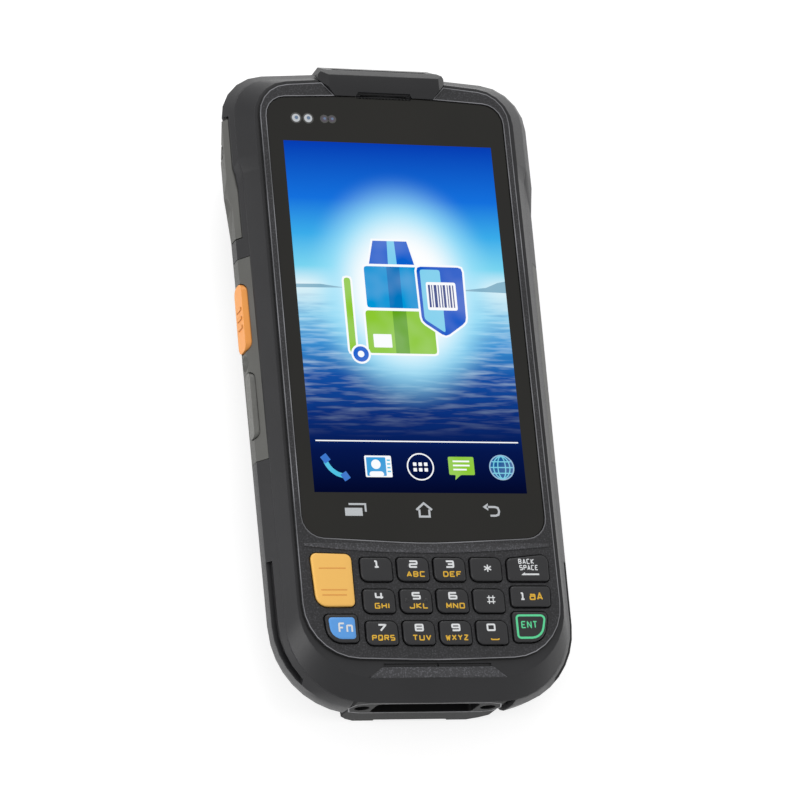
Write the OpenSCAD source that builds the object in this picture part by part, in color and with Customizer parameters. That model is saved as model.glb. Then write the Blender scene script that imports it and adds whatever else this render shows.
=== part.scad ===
// Rugged handheld data terminal: a touch screen over a numeric keypad, with a
// barcode scanner in its head and charging contacts in its tail.
// It lies on its back: X to the right, Y towards the scanner, Z out of the
// screen. The origin is the middle of its footprint, on the surface it lies on.

/* [Body] */
// Length from the dock nose to the scanner end
body_len = 156.7; // [155.9:0.1:160]
// Width across the upper shoulders, the widest place
shoulder_w = 76.6; // [76:0.2:78]
// Width at the upper end of the grip
grip_w = 74.8; // [74.2:0.2:75.4]
// Width at the tail, beside the keypad
tail_w = 72.6; // [72.4:0.2:73.6]
// Thickness from the back to the face of the glass
body_h = 24.5; // [24.3:0.1:26]
// Wall thickness of the rear housing
wall = 1.8; // [1.6:0.1:2]
// Thickness of the front housing behind its face
deck_t = 1.8; // [1.6:0.1:2]

/* [Skin] */
// Drop from the glass to the parting line between the housings
flank_h = 4.3; // [4.1:0.1:4.6]
// Height of the sloping shelf below the parting line
shelf_h = 3; // [2.6:0.1:3.2]
// Height of the upright side wall below the shelf
side_h = 3.4; // [3:0.1:3.8]
// Width of the front face
deck_w = 64.6; // [64.2:0.2:65]
// How far the tail of the front face lies inside the widest outline
deck_tail = 5.2; // [5:0.1:5.6]
// How far the head of the front face lies inside the widest outline
deck_top = 3.9; // [3.7:0.1:4.1]
// How far the sides of the parting line lie inside the widest outline
foot_side = 2.1; // [1.9:0.1:2.3]
// How far the tail of the parting line lies inside the widest outline
foot_tail = 0.5; // [0.4:0.1:0.8]
// How far the head of the parting line lies inside the widest outline
foot_top = 2; // [1.8:0.1:2.2]
// How far the flat of the back lies inside the widest outline
belly_side = 12.4; // [12:0.1:12.8]
// How far the flat of the back stops short of the head
belly_top = 4; // [3:0.5:5]
// How quickly the back curves in from the sides
belly_curve = 1.5; // [1.4:0.05:1.6]
// Corner radius of the tail
tail_r = 18.5; // [17:0.5:19]
// Corner radius of the head
head_r = 22; // [20:0.5:22.5]
// Bow of the tail edge between its corners
tail_bow = 0.3; // [0.2:0.1:0.6]
// Bow of the head edge between its corners
head_bow = 2.8; // [2.4:0.1:3.2]
// Distance from the head to the shoulder step along the parting line
shoulder_len = 24.7; // [24:0.1:26]
// Length of that step
shoulder_run = 3.6; // [3:0.2:5]
// How much further down the sides the step starts
shoulder_slant = 7.6; // [6:0.2:9]

/* [Front face] */
// Width of the touch glass
glass_w = 59; // [58.6:0.1:59.4]
// Length of the touch glass
glass_len = 110.7; // [110:0.1:111]
// Thickness of the touch glass
glass_t = 1.1; // [0.9:0.05:1.2]
// Bow of the glass at each end
glass_bow = 1.5; // [1.2:0.1:1.8]
// Corner radius of the glass
glass_r = 5; // [4:0.5:6]
// Distance from the scanner end to the glass
glass_gap = 9.25; // [9:0.05:9.5]
// Width of the picture on the display
screen_w = 51.84; // [50:0.1:53]
// Length of the picture on the display
screen_len = 86.4; // [84:0.1:88]
// Thickness of the display panel
display_t = 2.2; // [2:0.05:2.3]
// Border of the display panel round the picture
display_border = 2.4; // [1.8:0.1:2.6]
// How far the raised panel stands above the glass
panel_lip = 0.25; // [0.2:0.05:0.4]
// How far the ledge round the panel lies below the glass
ledge_drop = 0.45; // [0.3:0.05:0.6]
// Width of the ledge beside the panel
ledge_side = 1.1; // [0.9:0.1:1.3]
// Width of the ledge below the panel
ledge_tail = 4.1; // [3.9:0.1:4.3]

/* [Keypad] */
// Width of a number key
key_w = 7.55; // [7.3:0.05:7.7]
// Height of a number key
key_l = 5.6; // [5.4:0.05:5.8]
// Radius of a number key's lower right and upper left corners
key_r = 0.8; // [0.7:0.1:1]
// Radius of its other two corners
key_round = 1.6; // [1.2:0.1:1.8]
// Pitch of the number keys along a row
key_pitch_x = 8.85; // [8.8:0.05:8.95]
// Pitch of the rows of keys
key_pitch_y = 7.5; // [7.4:0.05:7.6]
// Distance from the glass to the first row of number keys
keypad_gap = 3.65; // [3.5:0.05:3.8]
// Distance from the middle to the inner edge of the side keys
side_in = 18.8; // [18.7:0.05:18.9]
// Distance from the middle to the outer edge of the side keys
side_out = 28.5; // [28.2:0.1:28.6]
// How far the keys stand above the raised panel
key_rise = 0.75; // [0.5:0.05:1]
// Travel of a key
key_travel = 0.5; // [0.3:0.05:0.55]
// Gap round a key in the front housing
key_gap = 0.25; // [0.2:0.01:0.28]
// Width of the flange that keeps a key in
key_flange = 0.42; // [0.38:0.02:0.44]

/* [Sides] */
// Distance from the tail of the body to the lower end of the grips
grip_y = 58.6; // [57.6:0.2:59.6]
// Length of the grips
grip_len = 49.3; // [48:0.5:50.5]
// Thickness of the grips
grip_t = 1; // [0.9:0.05:1.1]
// Height of the lower edge of the grips
grip_z = 5.5; // [5:0.5:6.5]
// Length of the trigger
trigger_len = 16.4; // [15:0.2:17.6]
// Width of the trigger
trigger_w = 5.6; // [5:0.1:6]
// How far the trigger stands out of its grip
trigger_proud = 0.25; // [0.2:0.05:0.6]
// Travel of the trigger
trigger_travel = 0.6; // [0.4:0.05:0.7]
// Length of the volume rocker
rocker_len = 15.8; // [14:0.2:16.4]
// Width of the volume rocker
rocker_w = 3.4; // [3:0.1:3.8]
// How far the rocker stands out
rocker_proud = 0.15; // [0.1:0.05:0.4]
// Length of the power button, flush in the right side
power_len = 8; // [7:0.5:10]
// Width of the power button
power_w = 2.8; // [2.4:0.1:2.9]
// Gap round the side keys
side_gap = 0.25; // [0.2:0.05:0.3]
// Length of the strap slots from the tail
strap_len = 34.5; // [32:0.5:36]
// Thickness of the rubber port cover
cover_t = 1.2; // [1:0.05:1.3]
// Length of the port cover
cover_len = 29.6; // [29:0.2:30]

/* [Scanner head] */
// Width of the scanner cap
cap_w = 31.6; // [31:0.2:32]
// How far the cap stands above the glass
cap_rise = 1.4; // [1.2:0.1:2]
// How far the cap's lip reaches over the glass
cap_lip = 0.6; // [0.3:0.05:0.7]
// How far the cap reaches beyond the housing at the head
cap_proud = 0.3; // [0.2:0.05:0.5]
// Width of the scan window
window_w = 24.6; // [23:0.2:25.4]
// Height of the scan window
window_h = 9.4; // [8.6:0.2:10]
// Thickness of the scan window
window_t = 1.2; // [1:0.1:1.4]

/* [Dock nose] */
// Width of the dock nose
nose_w = 39; // [38.4:0.2:39.4]
// Length of the dock nose along the body
nose_len = 17; // [16.5:0.5:18]
// How far the face of the nose lies inside the tail
nose_set = 1.2; // [1:0.05:1.4]
// Chamfer round the face of the nose
nose_bevel = 1.4; // [1:0.1:1.8]
// Radius of the lower corners of the nose
nose_r = 11; // [10:0.5:12]
// Width of the contact recess
recess_w = 25; // [24:0.2:25.4]
// Height of the contact recess
recess_h = 7; // [6.6:0.2:7.4]
// Depth of the contact recess
recess_d = 3.2; // [2.8:0.1:3.6]
// Distance from the glass down to the middle of the recess
recess_drop = 11.5; // [11:0.1:12]
// Number of dock contacts
contact_count = 10; // [8:1:12]
// Radius of the guide holes beside the recess
guide_r = 1.8; // [1.6:0.05:1.9]
// Spacing of the guide holes
guide_pitch = 30.6; // [30.2:0.1:31]

/* [Battery] */
// Width of the battery pack
battery_w = 41; // [39:0.5:41.5]
// Length of the battery pack
battery_len = 66; // [62:0.5:66.5]
// Thickness of the battery pack
battery_t = 10.4; // [9.5:0.1:10.6]
// Gap round the battery pack in its bay
battery_gap = 0.4; // [0.3:0.05:0.6]
// Thickness of the battery cover
door_t = 1.6; // [1.4:0.1:1.8]
// How far the battery cover laps over the bay's edge
door_lap = 1.1; // [0.9:0.05:1.2]
// How far the cover lies inside the back
door_sunk = 0.3; // [0.2:0.05:0.4]
// Gap round the battery cover
door_gap = 0.3; // [0.25:0.05:0.4]
// Travel of the battery latch
latch_travel = 2.4; // [1.5:0.1:3]

/* [Boards and screws] */
// Thickness of the circuit boards
board_t = 1; // [0.8:0.05:1.2]
// Width of the main board
board_w = 50; // [48:0.5:50.5]
// Radius of a housing screw
screw_r = 1; // [0.8:0.05:1.1]
// Radius of a screw head
screw_head_r = 1.9; // [1.7:0.05:2]
// Distance of the side screws from the middle
screw_x = 28.5; // [28.3:0.1:28.7]
// Height of the brow between the glass and the keys
brow_h = 0.2; // [0.1:0.05:0.4]
// Width of the brow in its middle
brow_w = 2; // [1.4:0.1:2.2]
// How much higher the ends of the brow lie than its middle
brow_bow = 1.6; // [1:0.1:2]

/* [Hidden] */
$fn = 48;
small = 0.05;            // overlap that lets a cut run out of a face
fit = 0.1;               // clearance between pieces of one body
charcoal = [0.17, 0.17, 0.18];
graphite = [0.11, 0.11, 0.12];
slate = [0.27, 0.27, 0.28];
orange = [0.96, 0.56, 0.26];
metal = [0.62, 0.63, 0.65];
gold = [0.83, 0.66, 0.32];
board_green = [0.09, 0.3, 0.2];

// Heights
foot_z = body_h - flank_h;
shelf_z = foot_z - shelf_h;
wide_z = shelf_z - side_h;
deck_z = body_h - ledge_drop;
panel_z = body_h + panel_lip;
under_z = panel_z - deck_t - ledge_drop;      // underside of the face
glass_z = body_h - glass_t;
display_z = glass_z - fit - display_t;
frame_t = 1.1;
frame_z = display_z - fit - frame_t;
key_z = under_z - fit - 0.8;                  // underside of the keys
mat_t = 0.6;
mat_z = key_z - key_travel - 0.35 - mat_t;
pad_board_z = mat_z - 0.8;
board_z = foot_z - 4;
bay_top = board_z - 2;
battery_z = door_sunk + door_t + 0.3;

// Places along the length
head_y = body_len/2 - cap_proud;
tail_y = -body_len/2 - 0.33;                  // the nose takes the middle of the tail's bow
nose_y0 = tail_y + nose_set;
glass_y = body_len/2 - glass_gap - glass_len/2;
glass_low = glass_y - glass_len/2;
display_w = screen_w + 2*display_border;
display_len = screen_len + 2*display_border;
grip_end = head_y - shoulder_len - shoulder_run - 2*shoulder_slant;
row_y = [for (i = [0:2]) glass_low - keypad_gap - key_l/2 - i*key_pitch_y];
scan_top = row_y[0] + 3.9;                    // upper end of the scan key
grip_y0 = tail_y + grip_y;
grip_y1 = grip_y0 + grip_len;
nose_y1 = nose_y0 + nose_len;
bay_len = battery_len + 2*battery_gap;
bay_w = battery_w + 2*battery_gap;
door_pin_r = 0.8;
door_y0 = nose_y1 + 1.2 + door_pin_r;         // hinge line of the battery cover
bay_y0 = door_y0 + door_lap + 1;
bay_y1 = bay_y0 + bay_len;
door_y1 = bay_y1 + door_lap;
door_z = door_sunk + door_t/2;
latch_y = door_y1 + door_gap + 1.2;

// Places on the sides
trigger_y = grip_y1 - 6 - trigger_len/2;
trigger_z = wide_z + 2;
rocker_y = grip_y0 + 5.6 + rocker_len/2;
rocker_z = wide_z + 3;
dimple_r = 2.3;                               // dimple between the trigger and the rocker
power_y = rocker_y;
power_z = (wide_z + shelf_z)/2;
cover_y1 = head_y - 14;
cover_y0 = cover_y1 - cover_len;
cover_z0 = 9.5;
cover_swing = 0.8;                            // gap that lets the cover's free end swing out
cover_z1 = shelf_z + 1.4;
port_z = board_z - 1.7;
skin_t = 1.15*wall;                           // wall measured level

function side_x(y) = tail_w/2 + (grip_w - tail_w)/2*(y - tail_y)/(grip_end - tail_y);

// ---- outlines ----------------------------------------------------------

function unit(v) = v/norm(v);
function flat(p) = [p.x, p.y];
function turned(v, a) = [v.x*cos(a) - v.y*sin(a), v.x*sin(a) + v.y*cos(a)];

// The arc that rounds corner p between its neighbours a and b
function arc(a, p, b, r, n) =
    r == 0 ? [flat(p)] :
    let (
        u = unit(flat(a) - flat(p)),
        w = unit(flat(b) - flat(p)),
        half = acos(u*w)/2,
        from = flat(p) + u*r/tan(half),
        centre = flat(p) + unit(u + w)*r/sin(half),
        sweep = (u.x*w.y - u.y*w.x > 0 ? -1 : 1)*(180 - 2*half)
    )
    [for (k = [0:n]) centre + turned(from - centre, sweep*k/n)];

// A closed outline from corners [x, y, radius, steps]
function rounded(v) =
    let (n = len(v))
    [for (i = [0:n - 1]) each arc(v[(i + n - 1)%n], v[i], v[(i + 1)%n], v[i][2],
        v[i][3] == undef ? 4 : v[i][3])];

function box_corners(w, l, r, n = 4) =
    [[-w/2, -l/2, r, n], [w/2, -l/2, r, n], [w/2, l/2, r, n], [-w/2, l/2, r, n]];

module slab(corners, z0, z1)
    translate([0, 0, z0]) linear_extrude(z1 - z0) polygon(rounded(corners));

module rounded_box(w, l, r, z0, z1, at = [0, 0])
    translate([at.x, at.y, 0]) slab(box_corners(w, l, r), z0, z1);

module block(from, to)
    translate(from) cube(to - from);

module mirrored()
{
    children();
    mirror([1, 0, 0]) children();
}

// ---- skin --------------------------------------------------------------

function curl(z, p = belly_curve) = z < wide_z ? pow(1 - z/wide_z, p) : 0;
function below(z) = max(0, min(1, (foot_z - z)/(foot_z - wide_z)));
function above(z) = max(0, min(1, (z - foot_z)/(deck_z - foot_z)));

// A distance that is foot at the parting line, deck at the front face and
// nothing on the upright wall
function level(z, foot, deck) =
    z > foot_z ? foot + (deck - foot)*above(z) : foot*max(0, (z - shelf_z)/(foot_z - shelf_z));

// Half the width at height z, where the widest outline has half width w
function half_w(z, w) =
    let (k = above(z)) (1 - k)*(w - level(min(z, foot_z), foot_side, 0)) + k*(deck_w/2 + 0.1*(w - grip_w/2)) - belly_side*curl(z);

// The body's outline at height z, set in by t
function skin(z, t = 0) =
    let (
        k = below(z),
        xt = half_w(z, tail_w/2) - t,
        xg = half_w(z, grip_w/2) - t,
        xs = half_w(z, shoulder_w/2) - t,
        y0 = tail_y + level(z, foot_tail, deck_tail) + belly_side*curl(z, 2.6) + t,
        y1 = head_y - level(z, foot_top, deck_top) - belly_top*curl(z, 2) - t,
        step = head_y - shoulder_len - k*shoulder_slant,
        round = max(3, head_r - 12.7*min(1, 1.55*(1 - k)) - 3*curl(z) - t),
        right = [
            [xt, y0 + tail_bow + 0.7*above(z), max(3, tail_r + 2*below(z) - 2*above(z) - 8*curl(z) - t), 9],
            [xg, step - shoulder_run - k*shoulder_slant, 4, 2],
            [xs, step, 4, 2],
            [xs, y1 - head_bow, round, 5]
        ]
    )
    rounded(concat([[0, y0, 150, 2]], right, [[0, y1, 100, 2]],
        [for (i = [3:-1:0]) [-right[i].x, right[i].y, right[i][2], right[i][3]]]));

// A solid through rings [z, outline] that have equal numbers of points
module loft(rings)
{
    n = len(rings[0][1]);
    m = len(rings);
    polyhedron(
        points = [for (r = rings) for (p = r[1]) [p.x, p.y, r[0]]],
        faces = concat(
            [[for (i = [0:n - 1]) i]],
            [[for (i = [n - 1:-1:0]) (m - 1)*n + i]],
            [for (k = [0:m - 2]) for (i = [0:n - 1])
                [k*n + i, (k + 1)*n + i, (k + 1)*n + (i + 1)%n]],
            [for (k = [0:m - 2]) for (i = [0:n - 1])
                [k*n + i, (k + 1)*n + (i + 1)%n, k*n + (i + 1)%n]]
        )
    );
}

// The skin below the parting line, set in by t, from z0 up
module lower_skin(t, z0, over = 0)
{
    steps = [for (s = [1:6]) s/6*wide_z];
    z = concat([z0], [for (s = steps) if (s > z0 + 0.5) s], [shelf_z, foot_z]);
    intersection()
    {
        loft(concat([[z0 - 1, skin(z0, t)]], [for (h = z) [h, skin(h, t)]],
            [[foot_z + over + 1, skin(foot_z, t)]]));
        block([-body_len, -body_len, z0], [body_len, body_len, foot_z + over]);
    }
}

lip_out = skin_t + 0.1;                       // tongue of the front housing
lip_t = 0.9;
lip_h = 1.4;

// ---- housings ----------------------------------------------------------

screw_places = [
    [screw_x, head_y - 13.5],
    [screw_x, (glass_y - display_len/2 + scan_top)/2],
    [nose_w/2 + 3.4, tail_y + 8.6]
];
boss_z = board_z - 4;                         // where the housings' bosses meet

module at_screws()
    mirrored() for (p = screw_places) translate(p) children();

// Outline of the raised panel round the glass and the keys
module panel_outline()
{
    x = deck_w/2 - ledge_side;
    y0 = tail_y + deck_tail + ledge_tail;
    y1 = head_y - deck_top - 0.9;
    polygon(rounded([
        [0, y0, 150, 2], [x, y0 + 0.8, 13, 7], [x, y1 - head_bow, 8, 5],
        [0, y1, 100, 2], [-x, y1 - head_bow, 8, 5], [-x, y0 + 0.8, 13, 7]
    ]));
}

// Curved brow between the glass and the keys, its ends higher by brow_bow and narrower
module brow()
{
    half = deck_w/2 - 2.6;
    y = glass_low - 0.45 - brow_w;
    translate([0, y, panel_z - small]) linear_extrude(brow_h + small) polygon(concat(
        [for (i = [-8:8]) [half*i/8, brow_bow*i*i/64]],
        [for (i = [8:-1:-8]) [half*i/8, brow_bow*i*i/64 + brow_w*(1 - 0.7*pow(abs(i)/8, 3))]]
    ));
}

mouth_y = tail_y + deck_tail + 3.2;           // microphone hole

module front_housing() color(charcoal)
    difference()
    {
        union()
        {
            difference()
            {
                union()
                {
                    loft([for (z = [foot_z, deck_z]) [z, skin(z)]]);
                    translate([0, 0, deck_z - small])
                        linear_extrude(panel_z - deck_z + small) panel_outline();
                    brow();
                    slab([[-16.5, mouth_y - 3, 0], [16.5, mouth_y - 3, 0],
                        [13.4, mouth_y - 0.5, 0.8], [-13.4, mouth_y - 0.5, 0.8]],
                        deck_z - 1, deck_z + 0.2);
                }
                loft([
                    [foot_z - small, skin(foot_z, lip_out + lip_t)],
                    [foot_z + 0.6, skin(foot_z, lip_out + lip_t)],
                    [under_z, skin(deck_z, 1.5)]
                ]);
            }
            translate([0, 0, foot_z - lip_h]) linear_extrude(lip_h + small)
                difference()
                {
                    polygon(skin(foot_z, lip_out));
                    polygon(skin(foot_z, lip_out + lip_t));
                }
            at_screws() translate([0, 0, boss_z])
                cylinder(r = 2.4, h = under_z + small - boss_z);
        }
        touch_glass_pocket();
        display_window();
        for (k = KEYS) slab(grown(key_corners(k), key_gap), under_z - 1, panel_z + 1);
        translate([0, mouth_y, under_z - 1]) cylinder(r = 0.45, h = 5);
        block([-13, mouth_y - 0.35, deck_z - 0.4], [13, mouth_y + 0.35, deck_z + small]);
        // seat of the seal in the parting face
        translate([0, 0, foot_z - small]) linear_extrude(0.5 + small)
            difference()
            {
                polygon(skin(foot_z, 1.1));
                polygon(skin(foot_z, 1.7));
            }
        // notch for the scanner cap
        slab(grown(cap_corners(0), fit), foot_z - lip_h - 1, panel_z + 1);
        slab(grown(cap_corners(cap_lip), fit), body_h - small, panel_z + 1);
        at_screws() translate([0, 0, boss_z - 1]) cylinder(r = screw_r + small, h = 7);
    }

module touch_glass_pocket()
    slab(grown(glass_corners(), fit), glass_z - fit, panel_z + 1);

module display_window()
{
    rounded_box(display_w + 0.4, display_len + 0.4, 1, under_z - 1, panel_z, [0, glass_y]);
    // way for the sensors and for the earpiece's sound
    block([sensor_x - sensor_w/2 - fit, glass_y + screen_len/2, under_z - 1],
        [sensor_x + sensor_w/2 + fit, sensor_y + 1.7, panel_z]);
    block([-ear_w/2 + 1, ear_y - 1.2, under_z - 1], [ear_w/2 - 1, ear_y, panel_z]);
}

bay_wall = 2.6;
rail_x = 30.4;                                // inner face of the side switch boards

module rear_housing() color(charcoal)
    difference()
    {
        union()
        {
            difference()
            {
                lower_skin(0, 0);
                lower_skin(skin_t, wall, 1);
            }
            // walls and ceiling of the battery bay
            block([-bay_w/2 - bay_wall, door_y0 - 1.6, wall - small],
                [bay_w/2 + bay_wall, bay_y1 + 1.6, bay_top]);
            // posts under the main board's head
            mirrored() translate([board_w/2 - 7, head_y - 31, wall - small])
                cylinder(r = 2, h = board_z - wall + small);
            mirrored() for (y = [bay_y0 + 3, bay_y1 - 3]) translate([board_w/2 - 7, y, bay_top - small])
                cylinder(r = 2, h = board_z - bay_top + small);
            // screw bosses and the rails that carry the side switch boards
            intersection()
            {
                lower_skin(0.5, 0.2);
                union()
                {
                    at_screws() cylinder(r = 3.1, h = boss_z);
                    mirrored() block([rail_x - 0.6, grip_y0 + 3, 2],
                        [rail_x + board_t + 0.4, grip_y1 - 4, trigger_z - trigger_w/2 - 0.8]);
                }
            }
        }
        // battery bay, open to the back
        block([-bay_w/2, bay_y0, -1], [bay_w/2, bay_y1, bay_top - 1.2]);
        rounded_box(door_w + 2*door_gap, door_y1 - door_y0 + door_gap, 2, -1, door_sunk + door_t + 0.1,
            [0, (door_y0 + door_y1 + door_gap)/2]);
        translate([-door_w/2 - door_gap, door_y0, door_z]) rotate([0, 90, 0])
            cylinder(r = door_pin_r + 0.25, h = door_w + 2*door_gap);
        translate([-door_w/2 - 1.5, door_y0, door_z]) rotate([0, 90, 0])
            cylinder(r = 0.65, h = door_w + 3);
        block([-door_w/2 - door_gap, door_y0 - door_pin_r - 0.25, -1],
            [door_w/2 + door_gap, door_y0 + 1, door_z]);
        block([-terminal_w/2 - fit, bay_y1 - small, battery_z + 1.5 - fit],
            [terminal_w/2 + fit, bay_y1 + 1.6 + small, battery_z + 6 + fit]);
        // latch seat and slot
        rounded_box(latch_w + 0.6, latch_l + latch_travel + 0.6, 1, -1, 1.1,
            [0, latch_y + (latch_l + latch_travel)/2]);
        block([-latch_neck/2 - 0.3, latch_y + 0.7, -1],
            [latch_neck/2 + 0.3, latch_y + 1.3 + latch_neck_l + latch_travel, wall + 1]);
        // seats of the grips, and the ways through for what stands in them
        mirrored() difference()
        {
            block([tail_w/2 - 12, grip_y0 - 0.15, grip_z - 0.15], [tail_w, grip_y1 + 0.15, foot_z + 1]);
            lower_skin(grip_t + small, 1, 2);
        }
        mirror([1, 0, 0])
        {
            trigger_way(1.1 + side_gap);
            rocker_way(1.1 + side_gap);
        }
        power_way(1.1 + side_gap);
        // seat of the port cover and the pocket behind it
        difference()
        {
            block([-shoulder_w, cover_y0 - 0.3, cover_z0 - 0.3], [-tail_w/2 + 12, cover_y1 + cover_swing, cover_z1 + 0.3]);
            lower_skin(cover_t + small, 1, 2);
        }
        block([-shoulder_w, port_y0 - 1.5, port_z - 3], [-tail_w/2 + 7, port_y1 + 1.5, board_z + board_t + 0.3]);
        // strap slots round the tail corners
        intersection()
        {
            translate([0, 0, shelf_z]) linear_extrude(1.5) difference()
            {
                polygon(skin(wide_z, -2));
                polygon(skin(wide_z, 1.3));
            }
            mirrored() block([nose_w/2 + 11, tail_y - 5, 0], [tail_w, tail_y + strap_len, body_h]);
        }
        // dock nose, scan window, camera, flash and loudspeaker
        block([-nose_w/2 - fit, tail_y - 2, -1], [nose_w/2 + fit, nose_y1 + fit, foot_z + 1]);
        block([-window_w/2 - fit, head_y - 5, window_z - window_h/2 - fit],
            [window_w/2 + fit, body_len, window_z + window_h/2 + fit]);
        block([-cap_w/2 + 2 - fit, head_y - bezel_t - fit, bezel_z - fit], [cap_w/2 - 2 + fit, body_len, foot_z]);
        slab(grown(cap_corners(0), fit), foot_z - cap_seat - fit, body_h);
        translate([camera_x, camera_y, -1]) cylinder(r = camera_r + 1.1 + fit, h = 1 + 1.1);
        translate([camera_x, camera_y, 0]) cylinder(r = camera_r + 0.2, h = wall + 1);
        rounded_box(flash_w + 0.2, flash_l + 0.2, 0.8, -1, wall + 1, [camera_x + flash_dx, camera_y]);
        for (i = [-2:2]) rounded_box(1.2, speaker_l - 2, 0.55, -1, wall + 1, [speaker_x + i*2.4, speaker_y]);
        at_screws() translate([0, 0, -1]) cylinder(r = screw_head_r + 0.3, h = boss_z - 1);
        at_screws() cylinder(r = screw_r + 0.2, h = boss_z + 1);
    }

module housing_seal() color("dimgray")
    translate([0, 0, foot_z]) linear_extrude(0.48) difference()
    {
        polygon(skin(foot_z, 1.15));
        polygon(skin(foot_z, 1.65));
        translate([-cap_w/2 - 0.3, cap_y0]) square([cap_w + 0.6, body_len]);
    }

module housing_screws() color(metal)
    at_screws() difference()
    {
        union()
        {
            translate([0, 0, boss_z - 4]) cylinder(r = screw_r, h = 9);
            translate([0, 0, boss_z - 4]) cylinder(r = screw_head_r, h = 2);
        }
        translate([0, 0, boss_z - 4 - small]) cylinder(r = 0.8, h = 1, $fn = 6);
    }

// ---- scanner head ------------------------------------------------------

cap_y0 = body_len/2 - glass_gap + 0.15;
cap_seat = 2.2;                               // depth of the cap's seat in the rear housing
cap_top = body_h + cap_rise;
window_z = wide_z - 1;
bezel_t = 1.3;                                // how deep the window's bezel sits in the head
bezel_z = window_z - window_h/2 - 2.2;

// Plan of the cap, its front edge moved forward by lip
function cap_corners(lip) = [
    [-cap_w/2 + 3.6, cap_y0 - lip, 0], [cap_w/2 - 3.6, cap_y0 - lip, 0],
    [cap_w/2, cap_y0 + 3.4, 1.5], [cap_w/2, cap_y0 + 5, 0],
    [cap_w/2 - 2, cap_y0 + 6.8, 0], [cap_w/2 - 2, body_len/2, 0],
    [-cap_w/2 + 2, body_len/2, 0], [-cap_w/2 + 2, cap_y0 + 6.8, 0],
    [-cap_w/2, cap_y0 + 5, 0], [-cap_w/2, cap_y0 + 3.4, 1.5]
];

// A prism along X from points [y, z]
module ridge(w, points)
    rotate([90, 0, 90]) linear_extrude(w, center = true) polygon(points);

module scanner_cap() color(graphite)
    difference()
    {
        union()
        {
            intersection()
            {
                ridge(cap_w, [
                    [cap_y0, foot_z - cap_seat], [cap_y0, body_h + fit],
                    [cap_y0 - cap_lip, body_h + fit], [cap_y0 - cap_lip, body_h + 0.4], [cap_y0 + 1.7, cap_top],
                    [cap_y0 + 4.3, cap_top], [cap_y0 + 6.4, cap_top - 2.1],
                    [body_len/2, foot_z - 1.5], [body_len/2, foot_z - cap_seat]
                ]);
                rotate([90, 0, 0]) linear_extrude(2*body_len, center = true) polygon([
                    [-cap_w/2, 0], [cap_w/2, 0], [cap_w/2, body_h - 0.4],
                    [cap_w/2 - 2, cap_top], [-cap_w/2 + 2, cap_top], [-cap_w/2, body_h - 0.4]
                ]);
                union()
                {
                    slab(cap_corners(0), 0, cap_top + 1);
                    slab(cap_corners(cap_lip), body_h + fit, cap_top + 1);
                }
            }
            ridge(cap_w - 4, [
                [head_y - bezel_t, foot_z - cap_seat + small], [head_y - bezel_t, bezel_z],
                [head_y - 0.9, bezel_z], [body_len/2, bezel_z + 2.6], [body_len/2, foot_z - cap_seat + small]
            ]);
        }
        // notch in the lip, over the earpiece slot
        slab([
            [-ear_w/2 - 0.9, cap_y0 - cap_lip - 1, 0], [ear_w/2 + 0.9, cap_y0 - cap_lip - 1, 0],
            [ear_w/2 - 0.3, cap_y0 + 0.3, 0], [-ear_w/2 + 0.3, cap_y0 + 0.3, 0]
        ], body_h, cap_top + 1);
        // room inside
        block([-cap_w/2 + 4, cap_y0 + 1.6, foot_z - cap_seat - small],
            [cap_w/2 - 4, head_y - bezel_t, body_h - 1]);
        block([-window_w/2 + 0.8, head_y - 4, window_z - window_h/2 + 0.8],
            [window_w/2 - 0.8, body_len, window_z + window_h/2 - 0.8]);
    }

module scan_window() color([0.25, 0.03, 0.05])
    translate([0, head_y - bezel_t, window_z]) rotate([90, 0, 0])
        rounded_box(window_w, window_h, 1, 0, window_t);

engine_y = head_y - 5;                        // face of the scan engine
engine_w = 21;
engine_l = 11;
engine_h = 9.6;
engine_z = window_z - engine_h/2;

module scan_engine() color([0.16, 0.17, 0.2])
{
    difference()
    {
        block([-engine_w/2, engine_y - engine_l, engine_z], [engine_w/2, engine_y, engine_z + engine_h]);
        translate([-4, engine_y + 1, window_z]) rotate([90, 0, 0]) cylinder(r = 3.1, h = 3);
        translate([5.6, engine_y + 1, window_z]) rotate([90, 0, 0]) cylinder(r = 1.7, h = 2.4);
    }
    translate([-4, engine_y - 0.6, window_z]) rotate([90, 0, 0]) cylinder(r = 2.6, h = 1.5);
}

module scan_bracket() color(metal)
    difference()
    {
        block([-engine_w/2 - 1.4, engine_y - engine_l + 1, wall], [engine_w/2 + 1.4, engine_y - 3.4, window_z]);
        block([-engine_w/2 - fit, -body_len, engine_z], [engine_w/2 + fit, body_len, body_h]);
        block([-engine_w/2 + 1.4, -body_len, wall + 1], [engine_w/2 - 1.4, body_len, engine_z - 1]);
    }

// ---- display -----------------------------------------------------------

function glass_corners() =
    let (w = glass_w/2, y0 = glass_y - glass_len/2, y1 = glass_y + glass_len/2)
    [
        [0, y0, 120, 3], [w, y0 + glass_bow, glass_r, 5], [w, y1 - glass_bow, glass_r, 5],
        [0, y1, 120, 3], [-w, y1 - glass_bow, glass_r, 5], [-w, y0 + glass_bow, glass_r, 5]
    ];

ear_w = 13.6;
ear_y = glass_y + glass_len/2;
sensor_x = -17.9;
sensor_y = ear_y - 6.3;
sensor_w = 12.6;

module touch_glass() color([0.09, 0.09, 0.08])
    difference()
    {
        slab(glass_corners(), glass_z, body_h);
        slab([[-ear_w/2, ear_y - 0.9, 0.3, 2], [ear_w/2, ear_y - 0.9, 0.3, 2],
            [ear_w/2, ear_y + 2, 0], [-ear_w/2, ear_y + 2, 0]], glass_z - 1, body_h + 1);
    }

module display_panel() color([0.1, 0.25, 0.6])
    rounded_box(display_w, display_len, 0.6, display_z, glass_z - fit, [0, glass_y]);

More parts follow.
